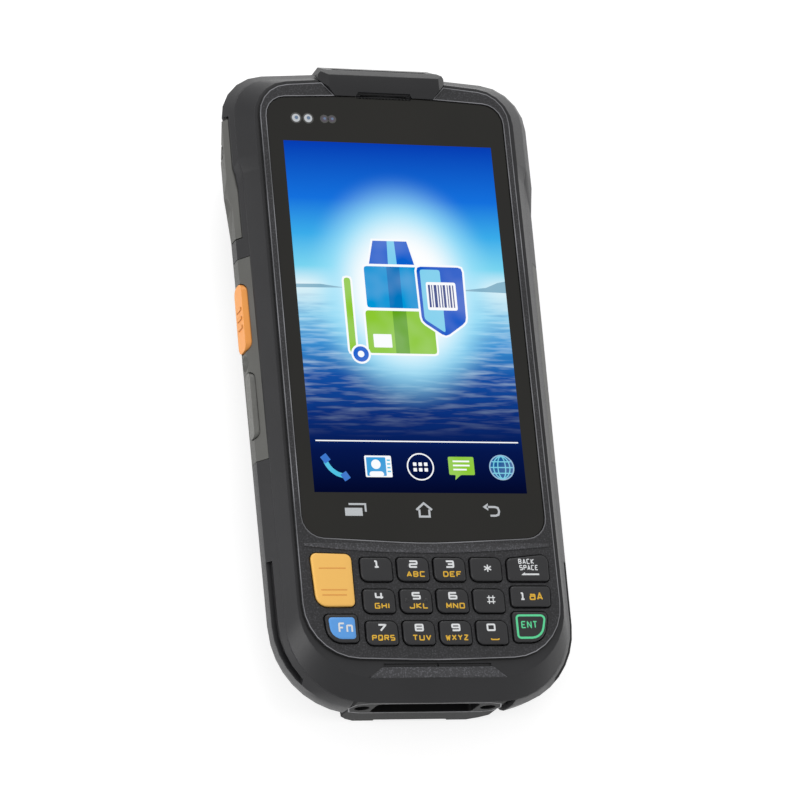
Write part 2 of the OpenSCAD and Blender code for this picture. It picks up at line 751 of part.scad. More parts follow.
module display_frame() color(metal)
    difference()
    {
        rounded_box(display_w + 1.4, display_len + 1.4, 1.2, frame_z, under_z, [0, glass_y]);
        rounded_box(display_w + 0.2, display_len + 0.2, 0.8, display_z - fit, body_h, [0, glass_y]);
        rounded_box(display_w - 16, 14, 2, frame_z - 1, body_h, [0, glass_y - screen_len/4]);
    }

module sensor_strip() color([0.12, 0.12, 0.14])
{
    block([sensor_x - sensor_w/2, sensor_y - 1.4, under_z], [sensor_x + sensor_w/2, sensor_y + 1.4, glass_z - 0.5]);
    for (dx = [-4.4, -1.4, 2.5, 4.5]) translate([sensor_x + dx, sensor_y, glass_z - 0.5 - small])
        cylinder(r = dx < 0 ? 1 : 0.7, h = 0.5);
}

module earpiece_mesh() color([0.05, 0.05, 0.05])
    difference()
    {
        intersection()
        {
            slab(glass_corners(), glass_z, body_h - 0.3);
            block([-ear_w/2 + fit, ear_y - 0.9 + fit, 0], [ear_w/2 - fit, ear_y, body_h]);
        }
        for (i = [-7:7]) block([i*0.82 - 0.25, ear_y - 0.7, glass_z - 1], [i*0.82 + 0.25, ear_y - 0.5, body_h]);
    }

module earpiece() color([0.2, 0.2, 0.22])
    rounded_box(12, 5.4, 1, under_z - 1.9, under_z, [0, ear_y - 2.8]);

// ---- keys --------------------------------------------------------------

KEYS = ["scan", "fn", "backspace", "mode", "enter",
    "1", "2", "3", "star", "4", "5", "6", "hash", "7", "8", "9", "0"];
GRID = ["1", "2", "3", "star", "4", "5", "6", "hash", "7", "8", "9", "0"];

// Corners of a key's outline
function key_corners(k) =
    k == "scan" ? [
        [-side_out + 0.6, row_y[1] - 1.2, 2.8, 5], [-side_in, row_y[1] - 1.2, 1],
        [-side_in, scan_top - 0.3, 1.5], [-side_out, scan_top, 1.3]]
    : k == "fn" ? [
        [-side_out + 2.6, row_y[2] - 2.2, 3.6, 5], [-side_in + 0.2, row_y[2] - 2.2, 0.9],
        [-side_in + 0.2, row_y[2] + 4.4, 0.9], [-side_out + 2.1, row_y[2] + 4.4, 0.9]]
    : k == "backspace" ? [
        [side_in, row_y[0] - 2.8, 0.9], [side_out + 0.4, row_y[0] - 2.8, 0.9],
        [side_out + 0.6, row_y[0] + 3.7, 1.7], [side_in, row_y[0] + 2.6, 1.2]]
    : k == "mode" ? [
        [side_in + 0.2, row_y[1] - 1.45, 0.9], [side_out + 0.1, row_y[1] - 1.45, 0.9],
        [side_out + 0.3, row_y[1] + 3.5, 0.9], [side_in + 0.2, row_y[1] + 3.5, 0.9]]
    : k == "enter" ? [
        [side_in, row_y[2] - 2.3, 0.9], [side_out - 2.3, row_y[2] - 2.3, 4, 5],
        [side_out - 0.7, row_y[2] + 4.9, 1.2], [side_in, row_y[2] + 4.9, 0.9]]
    : let (i = search([k], GRID)[0], x = (i%4 - 1.5)*key_pitch_x + 0.3, y = row_y[floor(i/4)])
        [for (c = box_corners(key_w, key_l, 0)) [c.x + x, c.y + y, c.x*c.y > 0 ? key_round : key_r]];

// The corners of an outline moved outwards by t
function grown(v, t) =
    let (n = len(v))
    [for (i = [0:n - 1])
        let (
            p = flat(v[i]),
            u = unit(p - flat(v[(i + n - 1)%n])),
            w = unit(flat(v[(i + 1)%n]) - p),
            out = unit([u.y + w.y, -u.x - w.x])
        )
        [p.x + out.x*t/(out*[u.y, -u.x]), p.y + out.y*t/(out*[u.y, -u.x]),
            v[i][2] == 0 ? 0 : v[i][2] + t, v[i][3]]];

module key(k, shade)
    color(shade)
    {
        slab(key_corners(k), key_z + 0.8 - small, panel_z + key_rise);
        slab(grown(key_corners(k), key_flange), key_z, key_z + 0.8);
    }

module keypad_mat() color([0.75, 0.76, 0.78])
{
    difference()
    {
        slab(pad_corners(0), mat_z, under_z - fit);
        slab(pad_corners(-pad_rim), mat_z + mat_t, body_h);
    }
    for (k = KEYS)
    {
        c = middle(key_corners(k));
        translate([c.x, c.y, mat_z + mat_t - small]) cylinder(r = 1.8, h = 0.15);
    }
}

function middle(v) = [for (a = [0, 1]) (min([for (p = v) p[a]]) + max([for (p = v) p[a]]))/2];

pad_rim = 0.6;                                // rim of the mat that meets the housing
pad_edge = key_flange + 0.4 + pad_rim;        // from the keys to the outside of that rim

// Outline of the mat, grown by t
function pad_corners(t) =
    let (x = side_out + 0.6 + pad_edge + t, y0 = row_y[2] - key_l/2 - pad_edge - t, y1 = scan_top + pad_edge + t)
    [[-x, y0, 9.6 + t, 5], [x, y0, 9.6 + t, 5], [x, y1, 1.5 + t], [-x, y1, 1.5 + t]];

module keypad_board() color(board_green)
    slab(pad_corners(-0.2), pad_board_z, mat_z);

// ---- boards ------------------------------------------------------------

board_y1 = head_y - 27;
port_y0 = cover_y0 + 5;
port_y1 = cover_y1 - 3.5;

module main_board() color(board_green)
    difference()
    {
        union()
        {
            block([-board_w/2, bay_y0 - 2, board_z], [board_w/2, board_y1, board_z + board_t]);
            block([-tail_w/2 + 3.4, port_y0, board_z], [0, port_y1, board_z + board_t]);
        }
        block([-board_w/2 - 9, board_y1 + small, board_z - 1], [-engine_w/2 - 2.6, board_y1, board_z + 2]);
    }

can_h = 1.8;

module can(w, l, x, y)
    rounded_box(w*board_w, l*screen_len, 0.8, board_z + board_t, board_z + board_t + can_h,
        [x*board_w, glass_y + y*screen_len]);

module shield_cans() color(metal)
{
    can(0.48, 0.31, -0.18, 0.16);
    can(0.26, 0.23, 0.28, 0.2);
    can(0.72, 0.25, 0, -0.28);
}

module microphone() color(metal)
    rounded_box(3.4, 2.6, 0.4, under_z - 1.1, under_z, [0, mouth_y]);

module vibration_motor() color(metal)
    translate([board_w/2 - 6, bay_y0 + 12, board_z + board_t]) cylinder(r = 4, h = pad_board_z - board_z - board_t - 0.3);

module usb_port() color(metal)
    difference()
    {
        rounded_box_x(usb_w, 3.2, 1.3, -tail_w/2 + 3.6, -tail_w/2 + 11, [usb_y, board_z - 1.6]);
        rounded_box_x(usb_w - 0.7, 2.5, 1, -tail_w/2 + 3, -tail_w/2 + 10, [usb_y, board_z - 1.6]);
    }

usb_w = 9;
usb_y = cover_y0 + 10.2;
jack_y = cover_y0 + 20.2;
jack_r = 1.75;

// A rounded box that lies along X, from x0 to x1
module rounded_box_x(w, h, r, x0, x1, at)
    translate([x0, at.x, at.y]) rotate([90, 0, 90]) linear_extrude(x1 - x0)
        polygon(rounded(box_corners(w, h, r)));

module headset_jack() color(graphite)
    difference()
    {
        block([-tail_w/2 + 3.6, jack_y - 3, board_z - 5.2], [-tail_w/2 + 14, jack_y + 3, board_z]);
        translate([-tail_w/2 + 3, jack_y, board_z - 2.6]) rotate([0, 90, 0]) cylinder(r = jack_r, h = 10);
    }

// ---- back --------------------------------------------------------------

camera_x = 0;
camera_y = head_y - 26;
camera_r = 3.6;
flash_dx = 9.5;
flash_w = 5;
flash_l = 3.2;
speaker_x = -13;
speaker_y = latch_y + 11;
speaker_l = 11;

module camera_window() color([0.05, 0.05, 0.07])
    difference()
    {
        translate([camera_x, camera_y, 0.3]) cylinder(r = camera_r + 1.1, h = 0.8);
        translate([camera_x, camera_y, 0.2]) cylinder(r = 1.9, h = 0.3);
    }

module rear_camera() color([0.1, 0.1, 0.12])
{
    translate([camera_x, camera_y, 1.2]) cylinder(r = camera_r, h = wall - 1.2 + small);
    rounded_box(2.6*camera_r, 2.6*camera_r, 0.5, wall, wall + 5, [camera_x, camera_y]);
}

module flash_lens() color([0.9, 0.88, 0.8])
{
    rounded_box(flash_w, flash_l, 0.7, 0.2, wall + small, [camera_x + flash_dx, camera_y]);
    rounded_box(flash_w + 1.6, flash_l + 1.6, 0.7, wall, wall + 0.8, [camera_x + flash_dx + 0.8, camera_y]);
}

module loudspeaker() color([0.2, 0.2, 0.22])
    rounded_box(15, speaker_l, 1, wall, wall + 3.6, [speaker_x, speaker_y]);

// ---- battery -----------------------------------------------------------

door_w = bay_w + 2*door_lap;
terminal_w = 11;
latch_w = 13;
latch_l = 4.6;
latch_neck = 5;
latch_neck_l = 2;

module battery_pack() color([0.85, 0.85, 0.83])
    rounded_box(battery_w, battery_len, 1.6, battery_z, battery_z + battery_t, [0, (bay_y0 + bay_y1)/2]);

module battery_terminals() color(gold)
    for (i = [-1.5:1.5]) block([i*2.6 - 0.8, bay_y1 - battery_gap + 0.05, battery_z + 1.5],
        [i*2.6 + 0.8, bay_y1 + 1.6, battery_z + 6]);

module battery_cover() color(charcoal)
{
    rounded_box(door_w, door_y1 - door_y0, 1.8, door_sunk, door_sunk + door_t, [0, (door_y0 + door_y1)/2]);
    translate([-door_w/2, door_y0, door_z]) rotate([0, 90, 0]) cylinder(r = door_pin_r, h = door_w);
    translate([-door_w/2 - 1.3, door_y0, door_z]) rotate([0, 90, 0]) cylinder(r = 0.6, h = door_w + 2.6);
}

module battery_latch() color(slate)
{
    difference()
    {
        rounded_box(latch_w, latch_l, 0.8, 0.25, 0.95, [0, latch_y + latch_l/2]);
        for (i = [-1:1]) block([-latch_w/2 + 2, latch_y + latch_l/2 + i*1.2 - 0.25, 0],
            [latch_w/2 - 2, latch_y + latch_l/2 + i*1.2 + 0.25, 0.5]);
    }
    block([-latch_neck/2, latch_y + 1, 0.9], [latch_neck/2, latch_y + 1 + latch_neck_l, wall + 0.3]);
    block([-latch_neck/2 - 1, latch_y + 0.6, wall + 0.2], [latch_neck/2 + 1, latch_y + 1.4 + latch_neck_l, wall + 1]);
}

// ---- dock nose ---------------------------------------------------------

recess_z = body_h - recess_drop;

// The nose without its holes
module nose_body()
    intersection()
    {
        translate([0, nose_y1, 0]) rotate([90, 0, 0]) linear_extrude(nose_len) polygon(rounded([
            [-nose_w/2, 0.2, nose_r, 6], [nose_w/2, 0.2, nose_r, 6],
            [nose_w/2, foot_z - 0.1, 1], [-nose_w/2, foot_z - 0.1, 1]
        ]));
        slab([
            [-nose_w, 0, 0], [-nose_w, nose_y0 + nose_bevel, 0], [-nose_w/2, nose_y0 + nose_bevel, 0],
            [-nose_w/2 + nose_bevel, nose_y0, 0], [-nose_w/2 + nose_bevel, tail_y - 1, 0],
            [nose_w/2 - nose_bevel, tail_y - 1, 0], [nose_w/2 - nose_bevel, nose_y0, 0],
            [nose_w/2, nose_y0 + nose_bevel, 0], [nose_w, nose_y0 + nose_bevel, 0], [nose_w, 0, 0]
        ], -1, body_h);
        ridge(2*nose_w, [
            [0, -1], [nose_y0 + nose_bevel, -1], [nose_y0 + nose_bevel, 0.2],
            [nose_y0, 0.2 + nose_bevel], [tail_y - 1, 0.2 + nose_bevel], [tail_y - 1, body_h], [0, body_h]
        ]);
    }

module dock_nose() color(graphite)
    difference()
    {
        nose_body();
        translate([0, nose_y1 + 1, 0]) rotate([90, 0, 0]) linear_extrude(nose_len - 6)
            polygon(rounded([
                [-nose_w/2 + 2, 2.2, nose_r - 2, 6], [nose_w/2 - 2, 2.2, nose_r - 2, 6],
                [nose_w/2 - 2, foot_z - 3.2, 1], [-nose_w/2 + 2, foot_z - 3.2, 1]
            ]));
        translate([0, nose_y0 - 1, recess_z]) rotate([-90, 0, 0])
            rounded_box(recess_w, recess_h, 1.2, 0, recess_d + 1);
        mirrored() translate([guide_pitch/2, nose_y0 - 1, recess_z]) rotate([-90, 0, 0])
            cylinder(r = guide_r, h = 5);
        // grip notch under the nose
        block([-9, nose_y0 - 1, -1], [9, nose_y0 + 1.2, 2.4]);
        // relief under the front housing's tongue
        block([-tail_w, nose_y0 + 1, foot_z - lip_h - 0.2], [tail_w, 0, body_h]);
    }

contact_pitch = (recess_w - 4)/contact_count;

module dock_contacts() color(gold)
    for (i = [0:contact_count - 1])
        block([(i - (contact_count - 1)/2)*contact_pitch - 0.7, nose_y0 + recess_d - 0.7, recess_z + 0.3],
            [(i - (contact_count - 1)/2)*contact_pitch + 0.7, nose_y0 + recess_d, recess_z + recess_h/2 - 0.6]);

// ---- grips and side keys -----------------------------------------------

// A body that follows the skin, t thick, between two heights and two ends
module skin_piece(t, y0, y1, z0, z1)
    intersection()
    {
        difference()
        {
            lower_skin(0, 1);
            lower_skin(t, 0.5, 1);
        }
        block([tail_w/2 - 12, y0, z0], [shoulder_w, y1, z1]);
    }

// A way through the right side for a key, with a gap round it
module key_way(len, w, r, y, z, gap)
    rounded_box_x(len + 2*gap, w + 2*gap, r + gap, tail_w/2 - 5, tail_w, [y, z]);

module trigger_way(gap) key_way(trigger_len, trigger_w, 2, trigger_y, trigger_z, gap);
module rocker_way(gap) key_way(rocker_len, rocker_w, 1.4, rocker_y, rocker_z, gap);
module power_way(gap) key_way(power_len, power_w, 1.4, power_y, power_z, gap);

module grip_shell() skin_piece(grip_t, grip_y0, grip_y1, grip_z, foot_z - 0.1);

module left_grip() color(slate)
    mirror([1, 0, 0]) difference()
    {
        grip_shell();
        trigger_way(side_gap);
        rocker_way(side_gap);
        translate([tail_w/2 + dimple_r - 0.3, (trigger_y - trigger_len/2 + rocker_y + rocker_len/2)/2, trigger_z])
            sphere(r = dimple_r);
    }

module right_grip() color(slate)
    difference()
    {
        grip_shell();
        power_way(side_gap);
    }

flange_x = 1.35;                              // how far the side keys' flanges lie inside the sides
switch_x = rail_x + board_t + 0.9;

// A key in the right side: cap, flange and the stems that meet its switches
module side_key(len, w, r, y, z, proud, travel, stems)
{
    x = side_x(y);
    rounded_box_x(len, w, r, x - flange_x - 0.8, x + proud, [y, z]);
    block([x - flange_x - 0.8, y - len/2 - 0.8, z - w/2 + r/2],
        [x - flange_x, y + len/2 + 0.8, shelf_z - 0.15]);
    for (s = stems) rounded_box_x(3, 2, 0.6, switch_x + travel + 0.2, x - flange_x - 0.8 + small, [y + s, z]);
}

module trigger() color(orange) mirror([1, 0, 0])
{
    side_key(trigger_len, trigger_w, 2, trigger_y, trigger_z, trigger_proud, trigger_travel, [0]);
    x = side_x(trigger_y) + trigger_proud;
    for (i = [-1:1]) block([x - small, trigger_y + 2.2*i - 0.35, trigger_z - 1.6],
        [x + 0.25, trigger_y + 2.2*i + 0.35, trigger_z + 1.6]);
}

rocker_swing = 0.6;                           // travel of the rocker's ends and of the power button
rocker_arm = 4.5;                             // from the rocker's pivot to its switches
pivot_r = 0.9;
pivot_x = side_x(rocker_y) - 1.5;

module volume_rocker() color(slate) mirror([1, 0, 0])
{
    side_key(rocker_len, rocker_w, 1.4, rocker_y, rocker_z, rocker_proud, rocker_swing, [-rocker_arm, rocker_arm]);
    translate([pivot_x, rocker_y, rocker_z - 1]) cylinder(r = pivot_r, h = 1.2);
}

module power_button() color(slate)
    side_key(power_len, power_w, 1.4, power_y, power_z, 0, rocker_swing, [0]);

// Board behind the keys of the right side, with switches at the places [y, z]
module switch_board(places) color(board_green)
{
    block([rail_x, grip_y0 + 3.5, trigger_z - trigger_w/2 - 0.8], [rail_x + board_t, grip_y1 - 4.5, foot_z - lip_h - 0.8]);
    for (p = places) block([rail_x + board_t - small, p.x - 1.8, p.y - 1.6], [switch_x, p.x + 1.8, p.y + 1.6]);
}

module left_switches() mirror([1, 0, 0])
{
    switch_board([[trigger_y, trigger_z], [rocker_y - rocker_arm, rocker_z], [rocker_y + rocker_arm, rocker_z]]);
    // post that the rocker tilts on
    color(board_green) block([rail_x + board_t - small, rocker_y - 1, rocker_z - 1.2],
        [pivot_x - pivot_r - 0.05, rocker_y + 1, rocker_z]);
}
module right_switches() switch_board([[power_y, power_z]]);

// ---- port cover --------------------------------------------------------

module port_cover() color(slate)
    mirror([1, 0, 0]) difference()
    {
        skin_piece(cover_t, cover_y0, cover_y1, cover_z0, cover_z1);
        translate([side_x(grip_end) + 2.9, cover_y0 + 8.5, port_z]) sphere(r = 3.4);
        translate([shoulder_w/2 - 0.25, cover_y1 - 7, port_z]) rotate([0, 90, 0]) difference()
        {
            cylinder(r = 2, h = 2);
            translate([0, 0, -1]) cylinder(r = 1.5, h = 4);
        }
    }

front_housing();
rear_housing();
housing_seal();
housing_screws();
scanner_cap();
scan_window();
scan_engine();
scan_bracket();
touch_glass();
display_panel();
display_frame();
sensor_strip();
earpiece_mesh();
earpiece();
key("scan", orange);  // key_scan
key("fn", [0.36, 0.6, 0.88]);  // key_fn
key("backspace", charcoal);  // key_backspace
key("mode", charcoal);  // key_mode
key("enter", charcoal);  // key_enter
key("1", charcoal);  // key_1
key("2", charcoal);  // key_2
key("3", charcoal);  // key_3
key("star", charcoal);  // key_star
key("4", charcoal);  // key_4
key("5", charcoal);  // key_5
key("6", charcoal);  // key_6
key("hash", charcoal);  // key_hash
key("7", charcoal);  // key_7
key("8", charcoal);  // key_8
key("9", charcoal);  // key_9
key("0", charcoal);  // key_0
keypad_mat();
keypad_board();
main_board();
shield_cans();
microphone();
vibration_motor();
usb_port();
headset_jack();
camera_window();
rear_camera();
flash_lens();
loudspeaker();
battery_pack();
battery_terminals();
battery_cover();
battery_latch();
dock_nose();
dock_contacts();
left_grip();
right_grip();
trigger();
volume_rocker();
power_button();
left_switches();
right_switches();
port_cover();
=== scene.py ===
# %% [markdown]
# # Dressing a handheld data terminal
# A data terminal is a small computer in a tough case: a touch screen, a keypad, a
# barcode scanner in the head and charging contacts in the tail.
# Its solids come out of CAD at their real size, and each one already rides on the body
# that moves it. What is left for Blender is everything that the eye reads: the grain of
# the mouldings, the soft edges of the keys, the ink on them and the lit screen.
# We begin by loading those solids.

import math

import bmesh
import bpy
from mathutils import Matrix, Vector
from mathutils.geometry import tessellate_polygon


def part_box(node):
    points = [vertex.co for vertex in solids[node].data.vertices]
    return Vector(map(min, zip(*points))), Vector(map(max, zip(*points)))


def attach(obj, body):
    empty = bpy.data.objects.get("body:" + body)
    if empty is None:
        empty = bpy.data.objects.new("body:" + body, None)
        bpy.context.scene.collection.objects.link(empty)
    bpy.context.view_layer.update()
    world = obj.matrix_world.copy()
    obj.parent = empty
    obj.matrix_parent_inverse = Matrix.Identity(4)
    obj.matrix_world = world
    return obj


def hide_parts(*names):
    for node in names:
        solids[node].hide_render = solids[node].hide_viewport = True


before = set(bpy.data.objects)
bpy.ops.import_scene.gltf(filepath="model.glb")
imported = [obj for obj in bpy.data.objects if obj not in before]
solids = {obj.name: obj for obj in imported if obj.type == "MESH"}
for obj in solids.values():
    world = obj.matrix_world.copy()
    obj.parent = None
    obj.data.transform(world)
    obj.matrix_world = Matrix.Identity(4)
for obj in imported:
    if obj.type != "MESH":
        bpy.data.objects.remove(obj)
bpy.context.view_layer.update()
MM = 0.001

# %% [markdown]
# ## The camera
# A product picture is taken from far away with a long lens, so that the sides of the
# case stay nearly parallel. We could aim the camera with a Track To constraint, but a
# camera that looks along three given directions is exact, and nothing can turn it.
# The directions are the columns of its rotation: right, up, and backwards.

# %% Place the camera
GLASS_LOW, GLASS_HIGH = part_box("touch_glass")
GLASS_MIDDLE = (GLASS_LOW + GLASS_HIGH) / 2
GLASS_TOP = GLASS_HIGH.z

# seen from the middle of the glass, in millimetres
CAMERA_PLACE = Vector((-309.6, -306.8, 838.4))
CAMERA_RIGHT = Vector((0.94493, -0.09103, 0.31435))
CAMERA_UP = Vector((-0.01452, 0.94793, 0.31815))
CAMERA_LENS = 182.25

bpy.context.scene.view_settings.view_transform = "Standard"
camera = bpy.data.objects.new("camera", bpy.data.cameras.new("camera"))
bpy.context.scene.collection.objects.link(camera)
bpy.context.scene.camera = camera
camera.data.lens = CAMERA_LENS
camera.data.sensor_width = 36
camera.data.clip_start = 0.05
camera.data.clip_end = 20
axes = Matrix((CAMERA_RIGHT, CAMERA_UP, CAMERA_RIGHT.cross(CAMERA_UP)))
camera.matrix_world = axes.transposed().to_4x4()
camera.location = CAMERA_PLACE * MM + Vector((0, GLASS_MIDDLE.y, GLASS_TOP))
print("camera to glass in mm:", round(CAMERA_PLACE.length))

# %% [markdown]
# ## Light
# Dark plastic shows its shape by what it mirrors, so a light tent suits it: a bright
# surround, and large soft lamps that draw a line along each edge.
# A small lamp would give hard shadows and burnt spots. The lamps here are as wide as the
# object is long. Only what looks at the tent directly or in a mirror is lifted to white,
# so the background is clean and no extra light falls on the object.

# %% Hang the lamps
SURROUND = 0.5


def soft_lamp(name, place, size, power):
    """A square area lamp that looks at the middle of the object."""
    lamp = bpy.data.objects.new(name, bpy.data.lights.new(name, "AREA"))
    bpy.context.scene.collection.objects.link(lamp)
    lamp.data.size = size
    lamp.data.energy = power
    lamp.location = place
    lamp.rotation_euler = (-Vector(place)).to_track_quat("-Z", "Y").to_euler()
    print(name, "in W:", power)


def either(tree, first, second):
    """A value in a node tree that is 1 where one of two values is 1."""
    node = tree.nodes.new("ShaderNodeMath")
    node.operation = "MAXIMUM"
    tree.links.new(first, node.inputs[0])
    tree.links.new(second, node.inputs[1])
    return node.outputs[0]


soft_lamp("lamp_left", (-0.8, -0.2, 0.3), 0.45, 3.4)
soft_lamp("lamp_head", (0.0, 0.8, 0.5), 0.5, 3.4)
soft_lamp("lamp_right", (0.8, -0.2, 0.25), 0.25, 1.0)

world = bpy.data.worlds.new("light_tent")
bpy.context.scene.world = world
world.use_nodes = True
tent = world.node_tree
ray = tent.nodes.new("ShaderNodeLightPath").outputs
seen = either(tent, ray["Is Camera Ray"], ray["Is Glossy Ray"])
seen = either(tent, seen, ray["Is Transmission Ray"])
strength = tent.nodes.new("ShaderNodeMapRange")
strength.inputs["To Min"].default_value = SURROUND
strength.inputs["To Max"].default_value = 1.0
tent.links.new(seen, strength.inputs["Value"])
tent.nodes["Background"].inputs["Color"].default_value = (1, 1, 1, 1)
tent.links.new(strength.outputs[0], tent.nodes["Background"].inputs["Strength"])

# %% [markdown]
# ## The table
# The terminal lies on its back on a pale table. The table has two jobs: to be white in
# the picture, and to hold the soft shadow that says where the object rests.
# A shader that adds a little glow to a lit surface does both. It lets through the light
# that comes from below, so that the back of the case can be looked at as well.

# %% Lay the table
TABLE_HALF = 3.0
TABLE_DROP = 0.05 * MM
TABLE_TONE = 0.62
TABLE_GLOW = 0.66


def table_finish():
    """A lit surface with a glow for what looks at it, and open to light from below."""
    material = bpy.data.materials.new("table")
    material.use_nodes = True
    tree = material.node_tree
    nodes, links = tree.nodes, tree.links
    nodes.remove(nodes["Principled BSDF"])
    lit = nodes.new("ShaderNodeBsdfDiffuse")
    lit.inputs["Color"].default_value = (TABLE_TONE, TABLE_TONE, TABLE_TONE, 1)
    glow = nodes.new("ShaderNodeEmission")
    glow.inputs["Strength"].default_value = TABLE_GLOW
    top = nodes.new("ShaderNodeAddShader")
    links.new(lit.outputs[0], top.inputs[0])
    links.new(glow.outputs[0], top.inputs[1])
    ray = nodes.new("ShaderNodeLightPath").outputs
    below = nodes.new("ShaderNodeNewGeometry").outputs["Backfacing"]
    opening = either(tree, either(tree, ray["Is Diffuse Ray"], ray["Is Shadow Ray"]), below)
    both = nodes.new("ShaderNodeMixShader")
    links.new(opening, both.inputs["Fac"])
    links.new(top.outputs[0], both.inputs[1])
    links.new(nodes.new("ShaderNodeBsdfTransparent").outputs[0], both.inputs[2])
    links.new(both.outputs[0], nodes["Material Output"].inputs["Surface"])
    return material


def mesh_object(name, points, faces, material):
    """A new object in the scene from points in metres and faces."""
    mesh = bpy.data.meshes.new(name)
    mesh.from_pydata([tuple(p) for p in points], [], faces)
    mesh.update()
    made = bpy.data.objects.new(name, mesh)
    bpy.context.scene.collection.objects.link(made)
    made.data.materials.append(material)
    return made


corners = [(-1, -1), (1, -1), (1, 1), (-1, 1)]
table = mesh_object(
    "table", [(x * TABLE_HALF, y * TABLE_HALF, -TABLE_DROP) for x, y in corners],
    [(0, 1, 2, 3)], table_finish())
print("table in m:", 2 * TABLE_HALF)

# %% [markdown]
# ## A workshop for finishes
# A material in Blender is a tree of nodes. Each node takes two or three lines of code to
# add, to set and to join, and a good finish has twenty of them.
# We could keep one long function for each finish. A small class with short calls for
# noise, mixing and relief makes each finish read like a recipe instead.
# Colours are typed as a screen shows them and turned into light values, which is what
# shaders work with.

# %% Colours
def colour_of(red, green, blue):
    """A colour as a screen shows it, 0 to 255, turned into the light values of a shader."""
    values = [v / 255 for v in (red, green, blue)]
    return tuple(v / 12.92 if v < 0.04045 else ((v + 0.055) / 1.055) ** 2.4
                 for v in values) + (1,)


def tinted(colour, amount):
    """A colour made lighter or darker by a factor."""
    return tuple(min(v * amount, 1) for v in colour[:3]) + (1,)


print("middle grey as light:", round(colour_of(128, 128, 128)[0], 3))

# %% Short calls for nodes
class Finish:
    """A material with short calls for adding and joining nodes."""

    def __init__(self, name):
        self.material = bpy.data.materials.new(name)
        self.material.use_nodes = True
        self.nodes = self.material.node_tree.nodes
        self.shader = self.nodes["Principled BSDF"]
        self.place = self.nodes.new("ShaderNodeTexCoord").outputs["Object"]

    def put(self, target, value):
        """Joins a socket to an input, or sets the input to a value."""
        if isinstance(value, bpy.types.NodeSocket):
            self.material.node_tree.links.new(value, target)
        else:
            target.default_value = value

    def add(self, kind, **values):
        """A node with its inputs set by name."""
        node = self.nodes.new(kind)
        for name, value in values.items():
            self.put(node.inputs[name.replace("_", " ")], value)
        return node

    def set(self, **values):
        """Sets inputs of the main shader by name."""
        for name, value in values.items():
            self.put(self.shader.inputs[name.replace("_", " ")], value)

    def noise(self, size, detail=2.0):
        """Noise with features of about that size in metres."""
        cloud = self.add("ShaderNodeTexNoise", Vector=self.place, Scale=1 / size, Detail=detail)
        return cloud.outputs["Fac"]

    def streaks(self, scale):
        """Noise with its own scale along X, Y and Z, in features per metre."""
        drawn = self.add("ShaderNodeMapping", Vector=self.place)
        drawn.inputs["Scale"].default_value = scale
        grain = self.add("ShaderNodeTexNoise", Vector=drawn.outputs[0], Scale=1.0, Detail=3.0)
        return grain.outputs["Fac"]

    def spread(self, value, low, high, out_low, out_high, smooth=False):
        """Stretches a value from one range to another, and clips it there."""
        node = self.add("ShaderNodeMapRange", Value=value)
        if smooth:
            node.interpolation_type = "SMOOTHERSTEP"
        for name, number in (("From Min", low), ("From Max", high),
                             ("To Min", out_low), ("To Max", out_high)):
            node.inputs[name].default_value = number
        return node.outputs[0]

    def mix(self, share, first, second):
        """A colour between two colours."""
        node = self.nodes.new("ShaderNodeMix")
        node.data_type = "RGBA"
        for number, value in ((0, share), (6, first), (7, second)):
            self.put(node.inputs[number], value)
        return node.outputs[2]

    def math(self, operation, first, second):
        """A sum, product or the like of two values."""
        node = self.nodes.new("ShaderNodeMath")
        node.operation = operation
        self.put(node.inputs[0], first)
        self.put(node.inputs[1], second)
        return node.outputs[0]

    def relief(self, height, depth, edge):
        """Bump from a height, on edges rounded by edge."""
        rounded = self.add("ShaderNodeBevel", Radius=edge).outputs[0]
        bump = self.add("ShaderNodeBump", Height=height, Distance=depth, Normal=rounded)
        self.set(Normal=bump.outputs[0])

    def edge_mask(self, reach):
        """1 along edges and 0 on faces: how far the rounded normal turns from the real one."""
        turn = self.add("ShaderNodeVectorMath")
        turn.operation = "DOT_PRODUCT"
        self.put(turn.inputs[0], self.add("ShaderNodeBevel", Radius=reach).outputs[0])
        self.put(turn.inputs[1], self.nodes.new("ShaderNodeNewGeometry").outputs["Normal"])
        return self.spread(turn.outputs["Value"], 0.995, 0.85, 0, 1)

    def open_air(self, reach):
        """1 on free surfaces and less in gaps and inner corners."""
        return self.add("ShaderNodeAmbientOcclusion", Distance=reach).outputs["AO"]

    def ink(self):
        """The colour that is stored on the faces of a drawing."""
        stored = self.add("ShaderNodeAttribute")
        stored.attribute_name = "ink"
        return stored.outputs["Color"]


print("calls:", [name for name in vars(Finish) if not name.startswith("_")])

# %% [markdown]
# ## Plastic out of a mould
# Every moulding here is the same recipe with other amounts: a base colour that drifts a
# little from place to place, a fine grain pressed in by the mould, and edges that are
# never quite sharp.
# We could paint images for that, but images need unwrapping. Noise textures read the
# position of the surface itself, so they fit any solid at its true scale.
# The edges come from the Bevel node, which bends the normals near an edge: the solid
# stays as CAD made it, and still catches a line of light.

# %% Recipe for a moulded surface
CLOUD_SIZE = 14 * MM
SHADE_WITHIN = 0.9 * MM
HIGHLIGHT_WITHIN = 0.2 * MM


